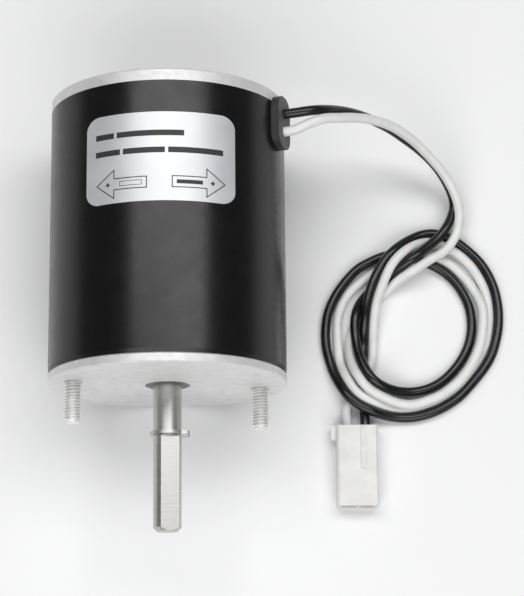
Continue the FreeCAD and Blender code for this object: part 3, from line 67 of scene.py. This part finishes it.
# How finely round shapes are drawn
BOLT_SIDES = 48
RINGS_PER_TURN = 14
LEAD_BEVEL_STEPS = 5
LEAD_CURVE_STEPS = 8
STROKE_STEP = 0.6
# A ring this small closes the end of a turned shape
CENTRE_RADIUS = 0.02
# Edges that bend more than this many degrees stay sharp
SHARP_ANGLE = 25

# Noise values mostly lie between these two
NOISE_LOW = 0.3
NOISE_HIGH = 0.7
# Strength of a surface's fine relief, and how much finer its grain is than its mottle
RELIEF_STRENGTH = 0.4
GRAIN_RATIO = 3
# Grinding marks run round the shaft, so its texture is squeezed along the motor
GROUND = (1, 9, 1)


# Shading helpers

def new_material(name, color, rough, metallic=0.0):
    material = bpy.data.materials.new(name)
    material.use_nodes = True
    shader = material.node_tree.nodes["Principled BSDF"]
    shader.inputs["Base Color"].default_value = (*color, 1)
    shader.inputs["Roughness"].default_value = rough
    shader.inputs["Metallic"].default_value = metallic
    return material, shader


def place(material, stretch=(1, 1, 1)):
    """The piece's own coordinates in metres, squeezed along the axes."""
    nodes = material.node_tree.nodes
    coords = nodes.new("ShaderNodeTexCoord")
    mapping = nodes.new("ShaderNodeMapping")
    mapping.inputs["Scale"].default_value = stretch
    material.node_tree.links.new(coords.outputs["Object"], mapping.inputs["Vector"])
    return mapping.outputs["Vector"]


def noise(material, scale, detail=3.0, stretch=(1, 1, 1)):
    texture = material.node_tree.nodes.new("ShaderNodeTexNoise")
    texture.inputs["Scale"].default_value = scale
    texture.inputs["Detail"].default_value = detail
    material.node_tree.links.new(place(material, stretch), texture.inputs["Vector"])
    return texture.outputs["Fac"]


def spread(material, source, low, high):
    """The source's usual range, spread from low to high."""
    scale = material.node_tree.nodes.new("ShaderNodeMapRange")
    scale.inputs["From Min"].default_value = NOISE_LOW
    scale.inputs["From Max"].default_value = NOISE_HIGH
    scale.inputs["To Min"].default_value = low
    scale.inputs["To Max"].default_value = high
    material.node_tree.links.new(source, scale.inputs["Value"])
    return scale.outputs["Result"]


def vary_roughness(material, shader, source, low, high):
    material.node_tree.links.new(spread(material, source, low, high), shader.inputs["Roughness"])


def vary_color(material, shader, source, dark, light):
    mix = material.node_tree.nodes.new("ShaderNodeMix")
    mix.data_type = "RGBA"
    mix.inputs["A"].default_value = (*dark, 1)
    mix.inputs["B"].default_value = (*light, 1)
    links = material.node_tree.links
    links.new(spread(material, source, 0, 1), mix.inputs["Factor"])
    links.new(mix.outputs["Result"], shader.inputs["Base Color"])


def emboss(material, shader, source, depth, strength=RELIEF_STRENGTH):
    bump = material.node_tree.nodes.new("ShaderNodeBump")
    bump.inputs["Distance"].default_value = depth * MM
    bump.inputs["Strength"].default_value = strength
    links = material.node_tree.links
    links.new(source, bump.inputs["Height"])
    links.new(bump.outputs["Normal"], shader.inputs["Normal"])


# Materials, one for each slot of the record

def can_paint():
    material, shader = new_material("can_paint", (0.004, 0.004, 0.0045), rough=0.3)
    shader.inputs["Specular IOR Level"].default_value = 0.37
    vary_roughness(material, shader, noise(material, scale=220), 0.25, 0.31)
    emboss(material, shader, noise(material, scale=900), depth=0.006, strength=0.2)
    return material


def plate_metal():
    material, shader = new_material("plate_metal", (0.8, 0.8, 0.79), rough=0.6, metallic=0.7)
    stains = noise(material, scale=380, detail=9)
    vary_color(material, shader, stains, (0.74, 0.74, 0.735), (0.83, 0.83, 0.825))
    vary_roughness(material, shader, noise(material, scale=900), 0.55, 0.68)
    emboss(material, shader, noise(material, scale=2600, detail=4), depth=0.03, strength=0.5)
    return material


def worn_steel(name, dark, light, low, high, depth=0.006, stretch=(1, 1, 1), scale=700, metallic=1.0):
    """A bare metal whose colour and gloss vary along its working marks."""
    material, shader = new_material(name, light, low, metallic)
    marks = noise(material, scale, detail=4, stretch=stretch)
    vary_color(material, shader, marks, dark, light)
    vary_roughness(material, shader, marks, low, high)
    emboss(material, shader, marks, depth)
    return material


def plain(name, dark, light, low, high, scale=500, depth=0.01, metallic=0.0):
    """A material that is even but for a faint mottle, gloss and texture."""
    material, shader = new_material(name, light, low, metallic)
    marks = noise(material, scale)
    vary_color(material, shader, marks, dark, light)
    vary_roughness(material, shader, marks, low, high)
    emboss(material, shader, noise(material, GRAIN_RATIO * scale), depth)
    return material


def core_steel():
    """Bare stacked sheets, whose edges show as fine bands round the core."""
    material, shader = new_material("core_steel", (0.35, 0.35, 0.36), rough=0.42, metallic=1.0)
    sheets = material.node_tree.nodes.new("ShaderNodeTexWave")
    sheets.bands_direction = "Y"
    sheets.inputs["Scale"].default_value = 640
    material.node_tree.links.new(place(material), sheets.inputs["Vector"])
    emboss(material, shader, sheets.outputs["Fac"], depth=0.04, strength=0.6)
    vary_color(material, shader, noise(material, scale=400), (0.28, 0.28, 0.29), (0.4, 0.4, 0.41))
    return material


def winding_copper():
    """Copper with the bands of wires that lie side by side."""
    material, shader = new_material("copper", (0.72, 0.33, 0.16), rough=0.24, metallic=1.0)
    wires = material.node_tree.nodes.new("ShaderNodeTexWave")
    wires.bands_direction = "X"
    wires.inputs["Scale"].default_value = 420
    wires.inputs["Distortion"].default_value = 3
    material.node_tree.links.new(place(material), wires.inputs["Vector"])
    vary_color(material, shader, wires.outputs["Fac"], (0.42, 0.16, 0.07), (0.75, 0.36, 0.18))
    emboss(material, shader, wires.outputs["Fac"], depth=0.08, strength=0.7)
    return material


def soft_plastic(name, dark, light, low, high, glow_depth):
    """A pale plastic that lets a little light into its surface."""
    material = plain(name, dark, light, low, high, scale=300)
    shader = material.node_tree.nodes["Principled BSDF"]
    shader.inputs["Subsurface Weight"].default_value = 0.25
    shader.inputs["Subsurface Scale"].default_value = glow_depth * MM
    return material


def grommet_rubber():
    """A black rubber whose dusty skin looks paler where it is seen along its surface."""
    material = plain("grommet_rubber", (0.01, 0.01, 0.011), (0.026, 0.026, 0.027), 0.5, 0.64,
                     scale=600, depth=0.03)
    shader = material.node_tree.nodes["Principled BSDF"]
    shader.inputs["Sheen Weight"].default_value = 0.28
    shader.inputs["Sheen Roughness"].default_value = 0.35
    return material


# The numbers are a dark and a light colour, then the least and the greatest roughness
MATERIALS = {
    "can_paint": can_paint(),
    "plate_metal": plate_metal(),
    "bolt_steel": worn_steel("bolt_steel", (0.84, 0.84, 0.83), (0.92, 0.92, 0.91), 0.46, 0.56,
                             depth=0.004, metallic=0.72),
    "shaft_steel": worn_steel("shaft_steel", (0.5, 0.495, 0.475), (0.59, 0.585, 0.565), 0.36, 0.44,
                              depth=0.0015, stretch=GROUND, scale=260),
    "spring_steel": worn_steel("spring_steel", (0.5, 0.5, 0.5), (0.64, 0.64, 0.63), 0.36, 0.48),
    "core_steel": core_steel(),
    "bush_bronze": worn_steel("bush_bronze", (0.4, 0.27, 0.14), (0.52, 0.36, 0.2), 0.45, 0.6),
    "felt": plain("felt", (0.62, 0.56, 0.42), (0.74, 0.68, 0.53), 0.85, 0.95, scale=900, depth=0.15),
    "nylon": soft_plastic("nylon", (0.8, 0.79, 0.73), (0.86, 0.85, 0.8), 0.4, 0.5, glow_depth=1.0),
    "insulation": plain("insulation", (0.3, 0.15, 0.06), (0.42, 0.23, 0.1), 0.4, 0.52, scale=900),
    "moulding": plain("moulding", (0.09, 0.06, 0.045), (0.13, 0.09, 0.065), 0.4, 0.5, scale=400),
    "copper": winding_copper(),
    "brass": worn_steel("brass", (0.66, 0.5, 0.22), (0.78, 0.62, 0.3), 0.24, 0.36),
    "ferrite": plain("ferrite", (0.09, 0.09, 0.1), (0.14, 0.14, 0.15), 0.5, 0.66, scale=700),
    "carbon": plain("carbon", (0.04, 0.04, 0.04), (0.08, 0.08, 0.08), 0.4, 0.55, scale=900),
    "tin": worn_steel("tin", (0.66, 0.66, 0.64), (0.8, 0.8, 0.78), 0.2, 0.32),
    "grommet_rubber": grommet_rubber(),
    "label_foil": plain("label_foil", (0.63, 0.645, 0.665), (0.69, 0.705, 0.72), 0.42, 0.5,
                        scale=120, depth=0.002, metallic=0.5),
    "lead_white": soft_plastic("lead_white", (0.74, 0.74, 0.73), (0.81, 0.81, 0.8), 0.3, 0.42,
                               glow_depth=0.4),
    "lead_black": plain("lead_black", (0.005, 0.005, 0.006), (0.011, 0.011, 0.012), 0.24, 0.34,
                        scale=300),
    "connector_nylon": soft_plastic("connector_nylon", (0.72, 0.72, 0.695), (0.8, 0.8, 0.77), 0.32, 0.44,
                                    glow_depth=1.2),
}


def dress_nodes():
    """Gives each slot of the CAD pieces its finished material."""
    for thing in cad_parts.values():
        for slot in thing.material_slots:
            slot.material = MATERIALS[slot.material.name.split(".")[0]]


# Shapes

def new_piece(name, points, faces, slot, smooth=True):
    """A mesh piece from points in millimetres, with the material of its slot."""
    mesh = bpy.data.meshes.new(name)
    mesh.from_pydata([Vector(point) * MM for point in points], [], faces)
    mesh.materials.append(MATERIALS[slot])
    if smooth:
        mesh.shade_smooth()
    piece = bpy.data.objects.new(name, mesh)
    bpy.context.scene.collection.objects.link(piece)
    return piece


# Cords

def make_lead(name, slot, points, nodes):
    """One insulated lead on its whole run, from the grommet through the coil into the plug."""
    curve = bpy.data.curves.new(name, "CURVE")
    curve.dimensions = "3D"
    curve.bevel_depth = LEAD_DIAMETER / 2 * MM
    curve.bevel_resolution = LEAD_BEVEL_STEPS
    curve.resolution_u = LEAD_CURVE_STEPS
    curve.use_fill_caps = True
    spline = curve.splines.new("NURBS")
    spline.points.add(len(points) - 1)
    for spot, point in zip(spline.points, points):
        spot.co = (*(Vector(point) * MM), 1)
    spline.order_u = LEAD_CURVE_ORDER
    spline.use_endpoint_u = True
    curve.materials.append(MATERIALS[slot])
    lead = bpy.data.objects.new(name, curve)
    bpy.context.scene.collection.objects.link(lead)
    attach(lead, "housing")
    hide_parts(*nodes)


# Points that draw each lead's middle line along, in order from the grommet to the plug
WHITE_LEAD = [
    (26.87, 56.9, 9.78), (28.9, 56.9, 10.5), (31.3, 57.9, 11.1), (33.7, 59.0, 11.0), (36.4, 60.1, 10.0),
    (39.6, 60.8, 7.8), (42.7, 61.8, 5.2), (47.3, 62.8, 0.9), (51.9, 62.9, -3.5), (55.3, 62.0, -6.9),
    (58.5, 60.8, -10.2), (62.4, 58.1, -14.1), (65.1, 55.9, -16.5), (67.4, 53.1, -18.8), (69.0, 50.2, -20.4),
    (69.8, 47.0, -21.4), (69.7, 44.5, -21.8), (69.1, 41.4, -22.0), (67.2, 38.2, -22.0), (65.1, 36.3, -22.0),
    (62.3, 34.8, -21.5), (58.7, 32.3, -21.3), (55.9, 30.9, -22.6), (53.3, 29.1, -24.5), (51.0, 27.0, -25.8),
    (48.4, 24.9, -25.7), (46.1, 22.5, -25.8), (44.3, 19.8, -25.8), (43.0, 16.9, -25.8), (42.7, 13.6, -25.3),
    (43.0, 9.5, -23.0), (44.9, 5.4, -20.9), (47.0, 3.0, -21.4), (50.3, 1.3, -22.5), (53.9, 0.0, -23.5),
    (57.4, -0.5, -23.4), (61.3, 0.7, -23.5), (64.6, 2.1, -23.5), (68.4, 5.0, -23.5), (70.9, 8.0, -23.5),
    (73.0, 11.6, -23.5), (74.2, 14.8, -23.5), (74.8, 18.6, -23.6), (75.1, 22.5, -23.9), (74.3, 25.7, -24.8),
    (73.1, 28.1, -25.5), (71.6, 30.6, -25.8), (69.2, 33.3, -25.8), (66.7, 35.3, -25.8), (64.0, 36.4, -25.8),
    (60.8, 36.7, -25.8), (57.7, 35.9, -25.8), (54.8, 35.1, -25.8), (51.7, 33.9, -25.8), (49.2, 32.7, -25.8),
    (46.3, 30.8, -25.8), (43.2, 28.1, -25.8), (41.3, 25.1, -25.8), (40.3, 22.5, -25.8), (39.9, 19.8, -25.8),
    (39.9, 16.8, -25.8), (40.0, 13.9, -25.8), (40.4, 10.2, -25.8), (42.0, 6.1, -23.4), (44.1, 2.8, -23.0),
    (46.9, 0.9, -23.0), (50.5, -0.3, -24.7), (54.0, -0.9, -25.8), (57.5, -0.7, -25.7), (61.3, 0.4, -25.8),
    (64.8, 2.0, -25.8), (68.8, 4.9, -25.8), (71.5, 8.2, -25.8), (73.8, 11.6, -25.8), (75.5, 14.9, -25.8),
    (76.2, 18.3, -25.8), (76.6, 21.7, -25.8), (76.4, 25.4, -25.8), (75.7, 28.5, -25.8), (74.3, 31.6, -25.8),
    (72.6, 34.3, -25.7), (70.2, 36.7, -25.6), (67.6, 38.5, -25.5), (64.9, 39.7, -25.4), (62.0, 40.2, -25.2),
    (58.6, 38.8, -23.2), (55.6, 36.5, -21.4), (53.3, 34.0, -21.1), (51.8, 31.4, -21.9), (50.5, 28.1, -22.4),
    (49.4, 25.0, -22.9), (48.8, 21.6, -23.7), (48.6, 18.1, -25.0), (48.5, 14.5, -25.8), (48.3, 11.1, -25.8),
    (47.0, 7.7, -25.8), (44.7, 4.7, -25.8), (43.0, 2.2, -25.8), (41.5, -1.5, -25.2), (41.9, -4.2, -24.2),
    (41.9, -6.6, -24.2), (41.9, -9.0, -24.2)]
BLACK_LEAD = [
    (26.87, 61.1, 9.78), (28.9, 61.1, 10.5), (33.1, 61.8, 10.5), (36.3, 62.7, 8.2), (39.7, 63.7, 4.6),
    (43.2, 64.2, 1.2), (46.4, 64.2, -2.0), (49.3, 63.9, -4.9), (52.7, 63.3, -8.3), (55.9, 62.1, -11.4),
    (59.4, 60.6, -14.4), (62.8, 58.4, -17.2), (65.4, 56.0, -19.6), (67.4, 53.2, -21.7), (68.6, 50.6, -23.1),
    (68.8, 48.0, -23.7), (67.9, 45.5, -23.4), (66.5, 42.7, -22.8), (64.3, 40.2, -22.8), (61.4, 37.8, -21.9),
    (58.6, 35.2, -20.6), (55.6, 33.3, -21.8), (53.2, 31.8, -23.9), (51.3, 30.4, -25.5), (48.9, 28.6, -25.8),
    (46.9, 26.8, -25.7), (45.2, 24.5, -24.6), (44.2, 21.7, -23.4), (43.9, 18.9, -23.4), (44.1, 16.3, -23.4),
    (44.5, 13.1, -22.9), (45.5, 9.6, -21.9), (47.4, 5.8, -20.9), (50.2, 3.9, -22.0), (53.8, 3.1, -24.3),
    (57.8, 3.1, -25.7), (61.6, 3.9, -25.7), (65.1, 5.8, -25.8), (68.1, 8.8, -25.8), (70.2, 11.8, -25.8),
    (71.6, 14.9, -25.8), (72.3, 18.3, -25.8), (72.3, 21.2, -25.8), (71.9, 23.9, -25.8), (70.9, 26.5, -25.7),
    (69.2, 29.5, -25.7), (66.7, 32.2, -25.6), (64.3, 33.8, -25.6), (61.8, 34.8, -24.9), (58.9, 35.3, -22.8),
    (56.2, 36.4, -23.9), (53.5, 36.9, -25.1), (51.0, 36.6, -25.4), (47.9, 35.2, -25.5), (44.9, 33.6, -25.6),
    (41.5, 29.8, -25.7), (39.2, 26.3, -25.7), (37.6, 22.5, -25.7), (37.1, 19.2, -25.8), (37.0, 16.6, -25.8),
    (37.2, 13.6, -25.7), (38.1, 10.1, -25.8), (39.3, 6.5, -25.0), (41.5, 2.3, -22.9), (43.7, 0.2, -22.9),
    (46.8, -1.6, -22.8), (50.4, -2.7, -24.4), (54.1, -3.1, -25.6), (57.5, -3.1, -25.7), (61.5, -2.2, -25.7),
    (65.1, -0.6, -25.8), (69.0, 1.9, -25.8), (71.8, 5.0, -25.8), (74.8, 8.5, -25.8), (76.9, 11.8, -25.8),
    (78.1, 15.5, -25.8), (78.8, 18.8, -25.8), (79.0, 22.4, -25.8), (78.7, 25.6, -25.8), (78.0, 29.0, -25.8),
    (76.6, 32.4, -25.8), (74.7, 35.4, -25.8), (71.8, 38.3, -25.8), (69.4, 40.2, -25.8), (66.6, 41.7, -25.7),
    (63.8, 42.5, -25.7), (60.6, 42.1, -25.6), (56.9, 40.1, -24.3), (53.6, 37.4, -22.5), (51.0, 34.4, -22.6),
    (49.0, 30.7, -22.4), (47.7, 27.1, -22.6), (46.8, 23.6, -22.8), (46.5, 20.5, -23.6), (46.2, 17.2, -25.3),
    (46.0, 13.7, -25.8), (45.9, 10.2, -24.9), (45.8, 6.2, -22.8), (46.0, 3.4, -24.7), (46.1, 0.7, -25.8),
    (46.0, -1.9, -25.0), (46.1, -4.4, -24.2), (46.1, -6.7, -24.2), (46.1, -9.0, -24.2)]


# Bolts

def circle(radius, height, steps):
    angles = [2 * math.pi * step / steps for step in range(steps)]
    return [(radius * math.cos(angle), height, radius * math.sin(angle)) for angle in angles]


def hexagon(width, height, steps):
    """Points at even angles round a hexagon that is this wide across its flats."""
    points = []
    for step in range(steps):
        angle = 2 * math.pi * step / steps
        reach = width / 2 / math.cos(angle % (math.pi / 3) - math.pi / 6)
        points.append((reach * math.cos(angle), height, reach * math.sin(angle)))
    return points


def thread_radius(turns):
    """The radius of the thread at this many turns along its helix: crest, flank, root, flank."""
    phase = turns % 1
    flank = (1 - THREAD_CREST - THREAD_ROOT) / 2
    if phase < THREAD_CREST:
        drop = 0
    elif phase < THREAD_CREST + flank:
        drop = (phase - THREAD_CREST) / flank
    elif phase < THREAD_CREST + flank + THREAD_ROOT:
        drop = 1
    else:
        drop = (1 - phase) / flank
    return STUD_RADIUS - THREAD_DEPTH * drop


def thread_ring(height, steps):
    """One ring of the stud's thread, trimmed by the chamfer at its tip."""
    limit = STUD_RADIUS - max(0, STUD_CHAMFER - (height + STUD_REACH))
    points = []
    for step in range(steps):
        angle = 2 * math.pi * step / steps
        radius = min(limit, thread_radius(height / THREAD_PITCH + step / steps))
        points.append((radius * math.cos(angle), height, radius * math.sin(angle)))
    return points


def bolt_rings(steps):
    """The rings of a through bolt, from its threaded tip to the bottom of its socket."""
    rings = [circle(CENTRE_RADIUS, -STUD_REACH, steps)]
    count = round(STUD_REACH / THREAD_PITCH * RINGS_PER_TURN)
    for index in range(count + 1):
        rings.append(thread_ring(-STUD_REACH + STUD_REACH * index / count, steps))
    head_end = BOLT_SEAT + HEAD_DEPTH
    rings.append(circle(SHANK_RADIUS, 0, steps))
    rings.append(circle(SHANK_RADIUS, BOLT_SEAT, steps))
    rings.append(circle(HEAD_RADIUS, BOLT_SEAT, steps))
    rings.append(circle(HEAD_RADIUS, head_end - HEAD_BREAK, steps))
    rings.append(circle(HEAD_RADIUS - HEAD_BREAK, head_end, steps))
    rings.append(hexagon(SOCKET_WIDTH, head_end, steps))
    rings.append(hexagon(SOCKET_WIDTH, head_end - SOCKET_DEPTH, steps))
    rings.append(circle(CENTRE_RADIUS, head_end - SOCKET_DEPTH, steps))
    return rings


def loft(rings):
    """Points and faces of a closed skin over rings that have equal counts."""
    steps = len(rings[0])
    points = [point for ring in rings for point in ring]
    faces = []
    for row in range(len(rings) - 1):
        for step in range(steps):
            after = (step + 1) % steps
            here = row * steps
            faces.append((here + step, here + steps + step, here + steps + after, here + after))
    last = (len(rings) - 1) * steps
    faces.append(tuple(range(steps)))
    faces.append(tuple(last + step for step in reversed(range(steps))))
    return points, faces


def in_thread_root(middle, x, z):
    """Whether a face of a bolt lies in its thread's grooves, where the steel is painted darker as shade."""
    radius = math.hypot(middle.x - x, middle.z - z)
    return -STUD_REACH + STUD_CHAMFER < middle.y < 0 and radius < STUD_RADIUS - UNSHADED_DEPTH * THREAD_DEPTH


def make_bolts():
    """The two through bolts, whose threaded ends are the mounting studs."""
    # A darker, rougher steel for the thread's grooves: painted shade
    groove_shade = worn_steel("thread_root", (0.7, 0.7, 0.69), (0.8, 0.8, 0.79), 0.5, 0.6,
                       depth=0.004, metallic=0.72)
    points, faces = loft(bolt_rings(BOLT_SIDES))
    for name, angle in (("bolt_right", -STUD_ANGLE), ("bolt_left", 180 - STUD_ANGLE)):
        x = STUD_RING * math.cos(math.radians(angle))
        z = STUD_RING * math.sin(math.radians(angle))
        moved = [(px + x, py, pz + z) for px, py, pz in points]
        bolt = new_piece(name, moved, faces, "bolt_steel")
        bolt.data.materials.append(groove_shade)
        # Faces deep in the grooves take the painted shade
        for face in bolt.data.polygons:
            face.material_index = int(in_thread_root(face.center / MM, x, z))
        bolt.data.set_sharp_from_angle(angle=math.radians(SHARP_ANGLE))
        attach(bolt, "housing")
        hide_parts("through_bolts")


# Label

# Places are in millimetres round the can from its top and along the motor from its face.
# Each bar has its left, right, front and rear ends, and the last bar is the right arrow's black swatch
LABEL_BARS = [
    (-16.0, -11.4, 50.5, 51.8),
    (-10.7, 4.4, 50.5, 51.8),
    (-16.0, -9.9, 46.6, 47.9),
    (-9.2, 0.2, 46.6, 47.9),
    (0.9, 13.4, 46.6, 47.9),
    (2.8, 8.6, 39.55, 40.45)]
# Each arrow has its tip, the end of its head, the end of its box, and its plus sign
LABEL_ARROWS = [(-15.6, -11.3, -3.8, -12.8), (13.8, 9.5, 1.8, 10.9)]
ARROW_MIDDLE = 40.0
ARROW_HALF_HEAD = 3.2
ARROW_HALF_BOX = 1.25
ARROW_LINE = 0.22
PLUS_SIZE = 1.0
PLUS_LINE = 0.34
SWATCH = [(-9.9, 39.5), (-4.9, 39.5), (-4.9, 40.5), (-9.9, 40.5)]
SWATCH_LINE = 0.12
PRINT_LIFT = 0.015


def on_can(across, along, radius):
    """A point on the label, from its distance round the can from the top and along the motor."""
    angle = across / CAN_RADIUS
    return (radius * math.sin(angle), along, radius * math.cos(angle))


class Print:
    """Marks printed on the label, gathered into one thin mesh."""
    def __init__(self):
        self.points = []
        self.faces = []

    def stroke(self, start, end, width):
        """A straight stroke between two places, in steps short enough to follow the can."""
        run = Vector(end) - Vector(start)
        side = Vector((-run.y, run.x)).normalized() * width / 2
        cuts = max(1, math.ceil(run.length / STROKE_STEP))
        radius = LABEL_RADIUS + PRINT_LIFT
        first = len(self.points)
        for cut in range(cuts + 1):
            middle = Vector(start) + run * cut / cuts
            for edge in (middle - side, middle + side):
                self.points.append(on_can(edge.x, edge.y, radius))
        for cut in range(cuts):
            low = first + 2 * cut
            self.faces.append((low, low + 2, low + 3, low + 1))

    def outline(self, corners, width):
        for start, end in zip(corners, corners[1:] + corners[:1]):
            run = (Vector(end) - Vector(start)).normalized() * width / 2
            self.stroke(Vector(start) - run, Vector(end) + run, width)

    def plus(self, middle, size, width):
        x, y = middle
        self.stroke((x - size / 2, y), (x + size / 2, y), width)
        self.stroke((x, y - size / 2), (x, y + size / 2), width)


def make_label_print():
    """Plain bars in place of text, two direction arrows with plus signs, and a white and a black swatch."""
    marks = Print()
    for left, right, low, high in LABEL_BARS:
        middle = (low + high) / 2
        marks.stroke((left, middle), (right, middle), high - low)
    for tip, head, tail, plus in LABEL_ARROWS:
        upper = [(tip, 0), (head, ARROW_HALF_HEAD), (head, ARROW_HALF_BOX), (tail, ARROW_HALF_BOX)]
        lower = [(across, -along) for across, along in reversed(upper[1:])]
        marks.outline([(across, ARROW_MIDDLE + along) for across, along in upper + lower], ARROW_LINE)
        marks.plus((plus, ARROW_MIDDLE), PLUS_SIZE, PLUS_LINE)
    marks.outline(SWATCH, SWATCH_LINE)
    piece = new_piece("label_print", marks.points, marks.faces, "label_foil", smooth=False)
    piece.data.materials.clear()
    piece.data.materials.append(plain("label_ink", (0.02, 0.02, 0.022), (0.03, 0.03, 0.032), 0.5, 0.6))
    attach(piece, "housing")


# Studio

FLOOR_REACH = 6000
LAMP_TARGET = (15, 20, 0)

# The camera's place in metres and its turns in degrees, as fitted to the photograph
CAMERA_PLACE = (0.0150903, -0.0904660, 0.4550533)
CAMERA_TILT = -13.6761
CAMERA_ROLL = 0.5184
CAMERA_YAW = 0.8095
# Its focal length and the picture's long side, in pixels
FOCAL_PIXELS = 2050
PICTURE_PIXELS = 596
SENSOR_WIDTH = 36


def flat_floor():
    """A pale floor under the motor."""
    corners = [(-1, -1), (1, -1), (1, 1), (-1, 1)]
    points = [(FLOOR_REACH * x, FLOOR_REACH * y, FLOOR_HEIGHT) for x, y in corners]
    mesh = bpy.data.meshes.new("floor")
    mesh.from_pydata([Vector(point) * MM for point in points], [], [(0, 1, 2, 3)])
    material, shader = new_material("floor", (0.9, 0.9, 0.9), rough=0.8)
    shader.inputs["Specular IOR Level"].default_value = 0.1
    mesh.materials.append(material)
    floor = bpy.data.objects.new("floor", mesh)
    bpy.context.scene.collection.objects.link(floor)


def add_light(name, spot, power, width, height):
    """A rectangular lamp turned to the motor, its power in watts."""
    lamp = bpy.data.lights.new(name, "AREA")
    lamp.shape = "RECTANGLE"
    lamp.size = width * MM
    lamp.size_y = height * MM
    lamp.energy = power
    light = bpy.data.objects.new(name, lamp)
    light.location = Vector(spot) * MM
    light.rotation_euler = (Vector(spot) - Vector(LAMP_TARGET)).to_track_quat("Z", "Y").to_euler()
    bpy.context.scene.collection.objects.link(light)


def light_studio():
    """A faint white sky and two soft lamps, above the motor's rear and in front of its shaft."""
    world = bpy.data.worlds.new("studio")
    bpy.context.scene.world = world
    world.use_nodes = True
    background = world.node_tree.nodes["Background"]
    background.inputs["Color"].default_value = (0.95, 0.97, 1.0, 1)
    background.inputs["Strength"].default_value = 0.12
    add_light("softbox", (55, 350, 900), power=6.6, width=1300, height=380)
    add_light("front_fill", (0, -520, 560), power=4.2, width=900, height=500)


def add_camera():
    """The camera at the photograph's place."""
    tilt = Matrix.Rotation(math.radians(CAMERA_TILT), 3, "X")
    roll = Matrix.Rotation(math.radians(CAMERA_ROLL), 3, "Z")
    yaw = Matrix.Rotation(math.radians(CAMERA_YAW), 3, "Y")
    turn = (roll @ tilt @ yaw).transposed()
    data = bpy.data.cameras.new("camera")
    data.sensor_width = SENSOR_WIDTH
    data.lens = SENSOR_WIDTH * FOCAL_PIXELS / PICTURE_PIXELS
    camera = bpy.data.objects.new("camera", data)
    camera.matrix_world = Matrix.Translation(CAMERA_PLACE) @ turn.to_4x4()
    bpy.context.scene.collection.objects.link(camera)
    bpy.context.scene.camera = camera


dress_nodes()
make_lead("white_lead", "lead_white", WHITE_LEAD, ("lead_white", "lead_coil", "tail_white"))
make_lead("black_lead", "lead_black", BLACK_LEAD, ("lead_black", "lead_coil", "tail_black"))
make_bolts()
make_label_print()
flat_floor()
light_studio()
add_camera()
bpy.context.scene.view_settings.view_transform = "Standard"
